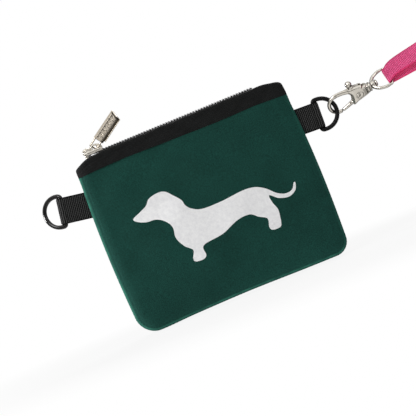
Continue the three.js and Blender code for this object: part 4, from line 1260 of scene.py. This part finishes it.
def strap_place(x, v, h):
    """A point of the strap: x along, v across and h out from its middle. It twists as it leaves the eye."""
    x, v, h = np.broadcast_arrays(*(np.asarray(a, float) for a in (x, v, h)))
    away = np.maximum(x - EYE_BAR, 0)
    turn = STRAP["twist"] * (1 - np.exp(-away / 9))[..., None]
    across = np.cos(turn) * EYE_UP + np.sin(turn) * EYE_OUT
    out = np.cos(turn) * EYE_OUT - np.sin(turn) * EYE_UP
    lift = STRAP["lift"] * (1 - np.exp(-away / 2.8)) * smooth_step(0.5 + h / (2 * BAR_RADIUS))
    # The two layers lie close together near the eye and open out further on.
    spread = 0.4 + 0.6 * smooth_step((away - 22) / 12)
    size = np.abs(h)
    h = np.sign(h) * (np.minimum(size, BAR_RADIUS) + np.maximum(size - BAR_RADIUS, 0) * spread)
    point = CLASP_AT + x[..., None] * CLASP_ALONG + v[..., None] * across + h[..., None] * out
    return point + lift[..., None] * STRAP_RISE, across


def strap_line():
    """The strap seen edge on: from its start round the far turn, back to the bar and out again."""
    length, bulge, wrap = STRAP["length"], STRAP["bulge"], math.radians(70)
    t = np.linspace(0, 1, 160)[:, None]

    def leg(height):
        sign = math.copysign(1, height)
        a, b, c, d = (np.array(p) for p in (
            (EYE_BAR + BAR_RADIUS * math.cos(wrap), sign * BAR_RADIUS * math.sin(wrap)),
            (EYE_BAR + length * 0.28, sign * (BAR_RADIUS + 0.5)),
            (EYE_BAR + length * 0.55, height),
            (STRAP_FAR, height)))
        return (1 - t) ** 3 * a + 3 * (1 - t) ** 2 * t * b + 3 * (1 - t) * t * t * c + t ** 3 * d
    begin = np.linspace(STRAP_FAR - STRAP["overlap"], STRAP_FAR, 30)[:-1]
    start = np.column_stack([begin, np.full(len(begin), -bulge)])
    under = leg(-(bulge - STRAP["thick"] - 0.12))
    return np.concatenate([start, arc(STRAP_FAR, 0, bulge, -90, 90, 120), leg(bulge)[::-1][1:],
                           arc(EYE_BAR, 0, BAR_RADIUS, 70, 290, 60)[1:], under[1:]])


def stitch_line(a, b, depth):
    """A row of stitches from a to b on the strap's outer face."""
    a, b = np.array(a), np.array(b)
    run = np.linalg.norm(b - a)
    count = int(run / STITCH["pitch"])
    dx, dv = (b - a) / run
    t = np.linspace(-STITCH["half"], STITCH["half"], 9)[:, None]
    bow = STITCH["bow"] * (1 - (t / STITCH["half"]) ** 2)
    girth = STITCH["radius"] * np.sqrt(np.maximum(1 - (t / 0.88) ** 2, 0.02))
    cos, sin = girth * np.cos(circle(8)), girth * np.sin(circle(8))
    for i in range(count):
        x, v = a + (b - a) * (i + 0.5) / count
        yield tube_data(strap_place(x + dx * t - dv * cos, v + dv * t + dx * cos, sin - depth - bow)[0])


def strap_pieces():
    """The webbing loop, and the thread that closes its overlap in a box with a cross."""
    flat = resample(strap_line(), 0.15)
    path, across = strap_place(flat[:, 0], 0, flat[:, 1])
    webbing("strap_weave", path, across, STRAP, STRAP_LOOK, "strap", "wrist_strap")
    low_x, high_x, half = STRAP_FAR - 18, STRAP_FAR - 2, 3.55
    depth = STRAP["bulge"] + STRAP["thick"] / 2 - 0.12
    box = [(low_x, -half), (high_x, -half), (high_x, half), (low_x, half)]
    lines = [*zip(box, box[1:] + box[:1]), (box[0], box[2]), (box[1], box[3])]
    mesh = solid("strap_stitches", joined([stitch for line in lines for stitch in stitch_line(*line, depth)]))
    set_values(mesh, "rise", np.full(len(mesh.vertices), 0.6))
    place("strap_stitches", mesh, THREAD_LOOK, "strap", ("strap_stitching",))


eye_piece()
strap_pieces()

# ---- Studio and camera ----

FLOOR_REACH = 6.0
ROOM = (  # height from floor to ceiling, brightness
    (0.0, 0.78), (0.12, 0.62), (0.36, 0.40), (0.45, 0.05),
    (0.53, 0.08), (0.62, 0.60), (0.80, 0.75), (1.0, 0.95),
)
DARK_CARD = (0.60, -0.10, -0.79)  # direction of a dark card, seen only in reflections
LIGHTS = (  # name, power, place, size, share in reflections
    ("key", 6.0, (-0.55, -1.05, 0.75), 0.5, 1.0),
    ("left", 13.0, (-1.15, -0.06, 0.13), 0.25, 0.4),
    ("fill", 1.5, (0.85, -0.95, 0.15), 0.6, 1.0),
    ("back", 7.0, (0.35, 1.05, 0.8), 0.8, 0.15),
)
ROLL_ANGLE = math.radians(22.4)  # the pouch hangs from its clasp with its right side up
FRAME_WIDTH = 0.2276
LENS, SENSOR = 180, 36


def studio_world():
    """White to the camera, soft light on cloth, and a striped warm room with a dark card in metal."""
    world = bpy.data.worlds.new("studio_white")
    world.use_nodes = True
    bpy.context.scene.world = world
    look = Nodes(world.node_tree)
    height = look.range((look.split("Generated"), "Z"), -1, 1, 0, 1)
    room = look.ramp(height, *((at, (value, value * 0.985, value * 0.955)) for at, value in ROOM))
    card = look.node("VectorMath", {0: (look.coords, "Generated"), 1: DARK_CARD}, operation="DISTANCE")
    room = look.times(room, look.range((card, "Value"), 0.22, 0.50, 0.02, 1.0))
    room = look.node("Background", {"Color": room, "Strength": 1.0})
    soft = look.node("Background", {"Strength": 0.28})
    white = look.node("Background", {"Color": (1, 1, 1, 1), "Strength": 1.0})
    rays = look.node("LightPath")
    lit = look.node("MixShader", {0: (rays, "Is Glossy Ray"), 1: (soft, 0), 2: (room, 0)})
    seen = look.node("MixShader", {0: (rays, "Is Camera Ray"), 1: (lit, 0), 2: (white, 0)})
    look.node("OutputWorld", {"Surface": (seen, 0)})


def add(name, data, at):
    obj = bpy.data.objects.new(name, data)
    bpy.context.scene.collection.objects.link(obj)
    obj.location = at
    return obj


def studio():
    low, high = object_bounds()
    floor = bpy.data.meshes.new("floor")
    corners = [(x * FLOOR_REACH, y * FLOOR_REACH, 0) for x, y in ((-1, -1), (1, -1), (1, 1), (-1, 1))]
    floor.from_pydata(corners, [], [(0, 1, 2, 3)])
    floor.materials.append(floor_look())
    obj = add("floor", floor, ((low.x + high.x) / 2, 0, low.z - 0.0002))
    obj.visible_glossy = False
    studio_world()
    for name, power, at, size, gloss in LIGHTS:
        data = bpy.data.lights.new(name, "AREA")
        data.energy, data.size, data.specular_factor = power, size, gloss
        obj = add(name, data, at)
        obj.rotation_mode = "QUATERNION"
        obj.rotation_quaternion = ((low + high) / 2 - Vector(at)).to_track_quat("-Z", "Y")
    view = bpy.context.scene.view_settings
    view.view_transform, view.look = "Standard", "None"


def camera():
    """Straight on to the front and rolled, as the pouch hangs in the photo."""
    low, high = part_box("front_panel")
    data = bpy.data.cameras.new("camera")
    data.lens, data.sensor_width = LENS, SENSOR
    data.clip_start, data.clip_end = 0.05, 30
    centre = Vector(((low.x + high.x) / 2 - 0.0021, 0, high.z / 2 + 0.00065))
    right = Vector((math.cos(ROLL_ANGLE), 0, -math.sin(ROLL_ANGLE)))
    up = Vector((math.sin(ROLL_ANGLE), 0, math.cos(ROLL_ANGLE)))
    back = Vector(TO_FRONT)
    matrix = Matrix((right, up, back)).transposed().to_4x4()
    matrix.translation = centre + back * FRAME_WIDTH * LENS / SENSOR
    obj = add("camera", data, centre)
    obj.matrix_world = matrix
    bpy.context.scene.camera = obj


studio()
camera()
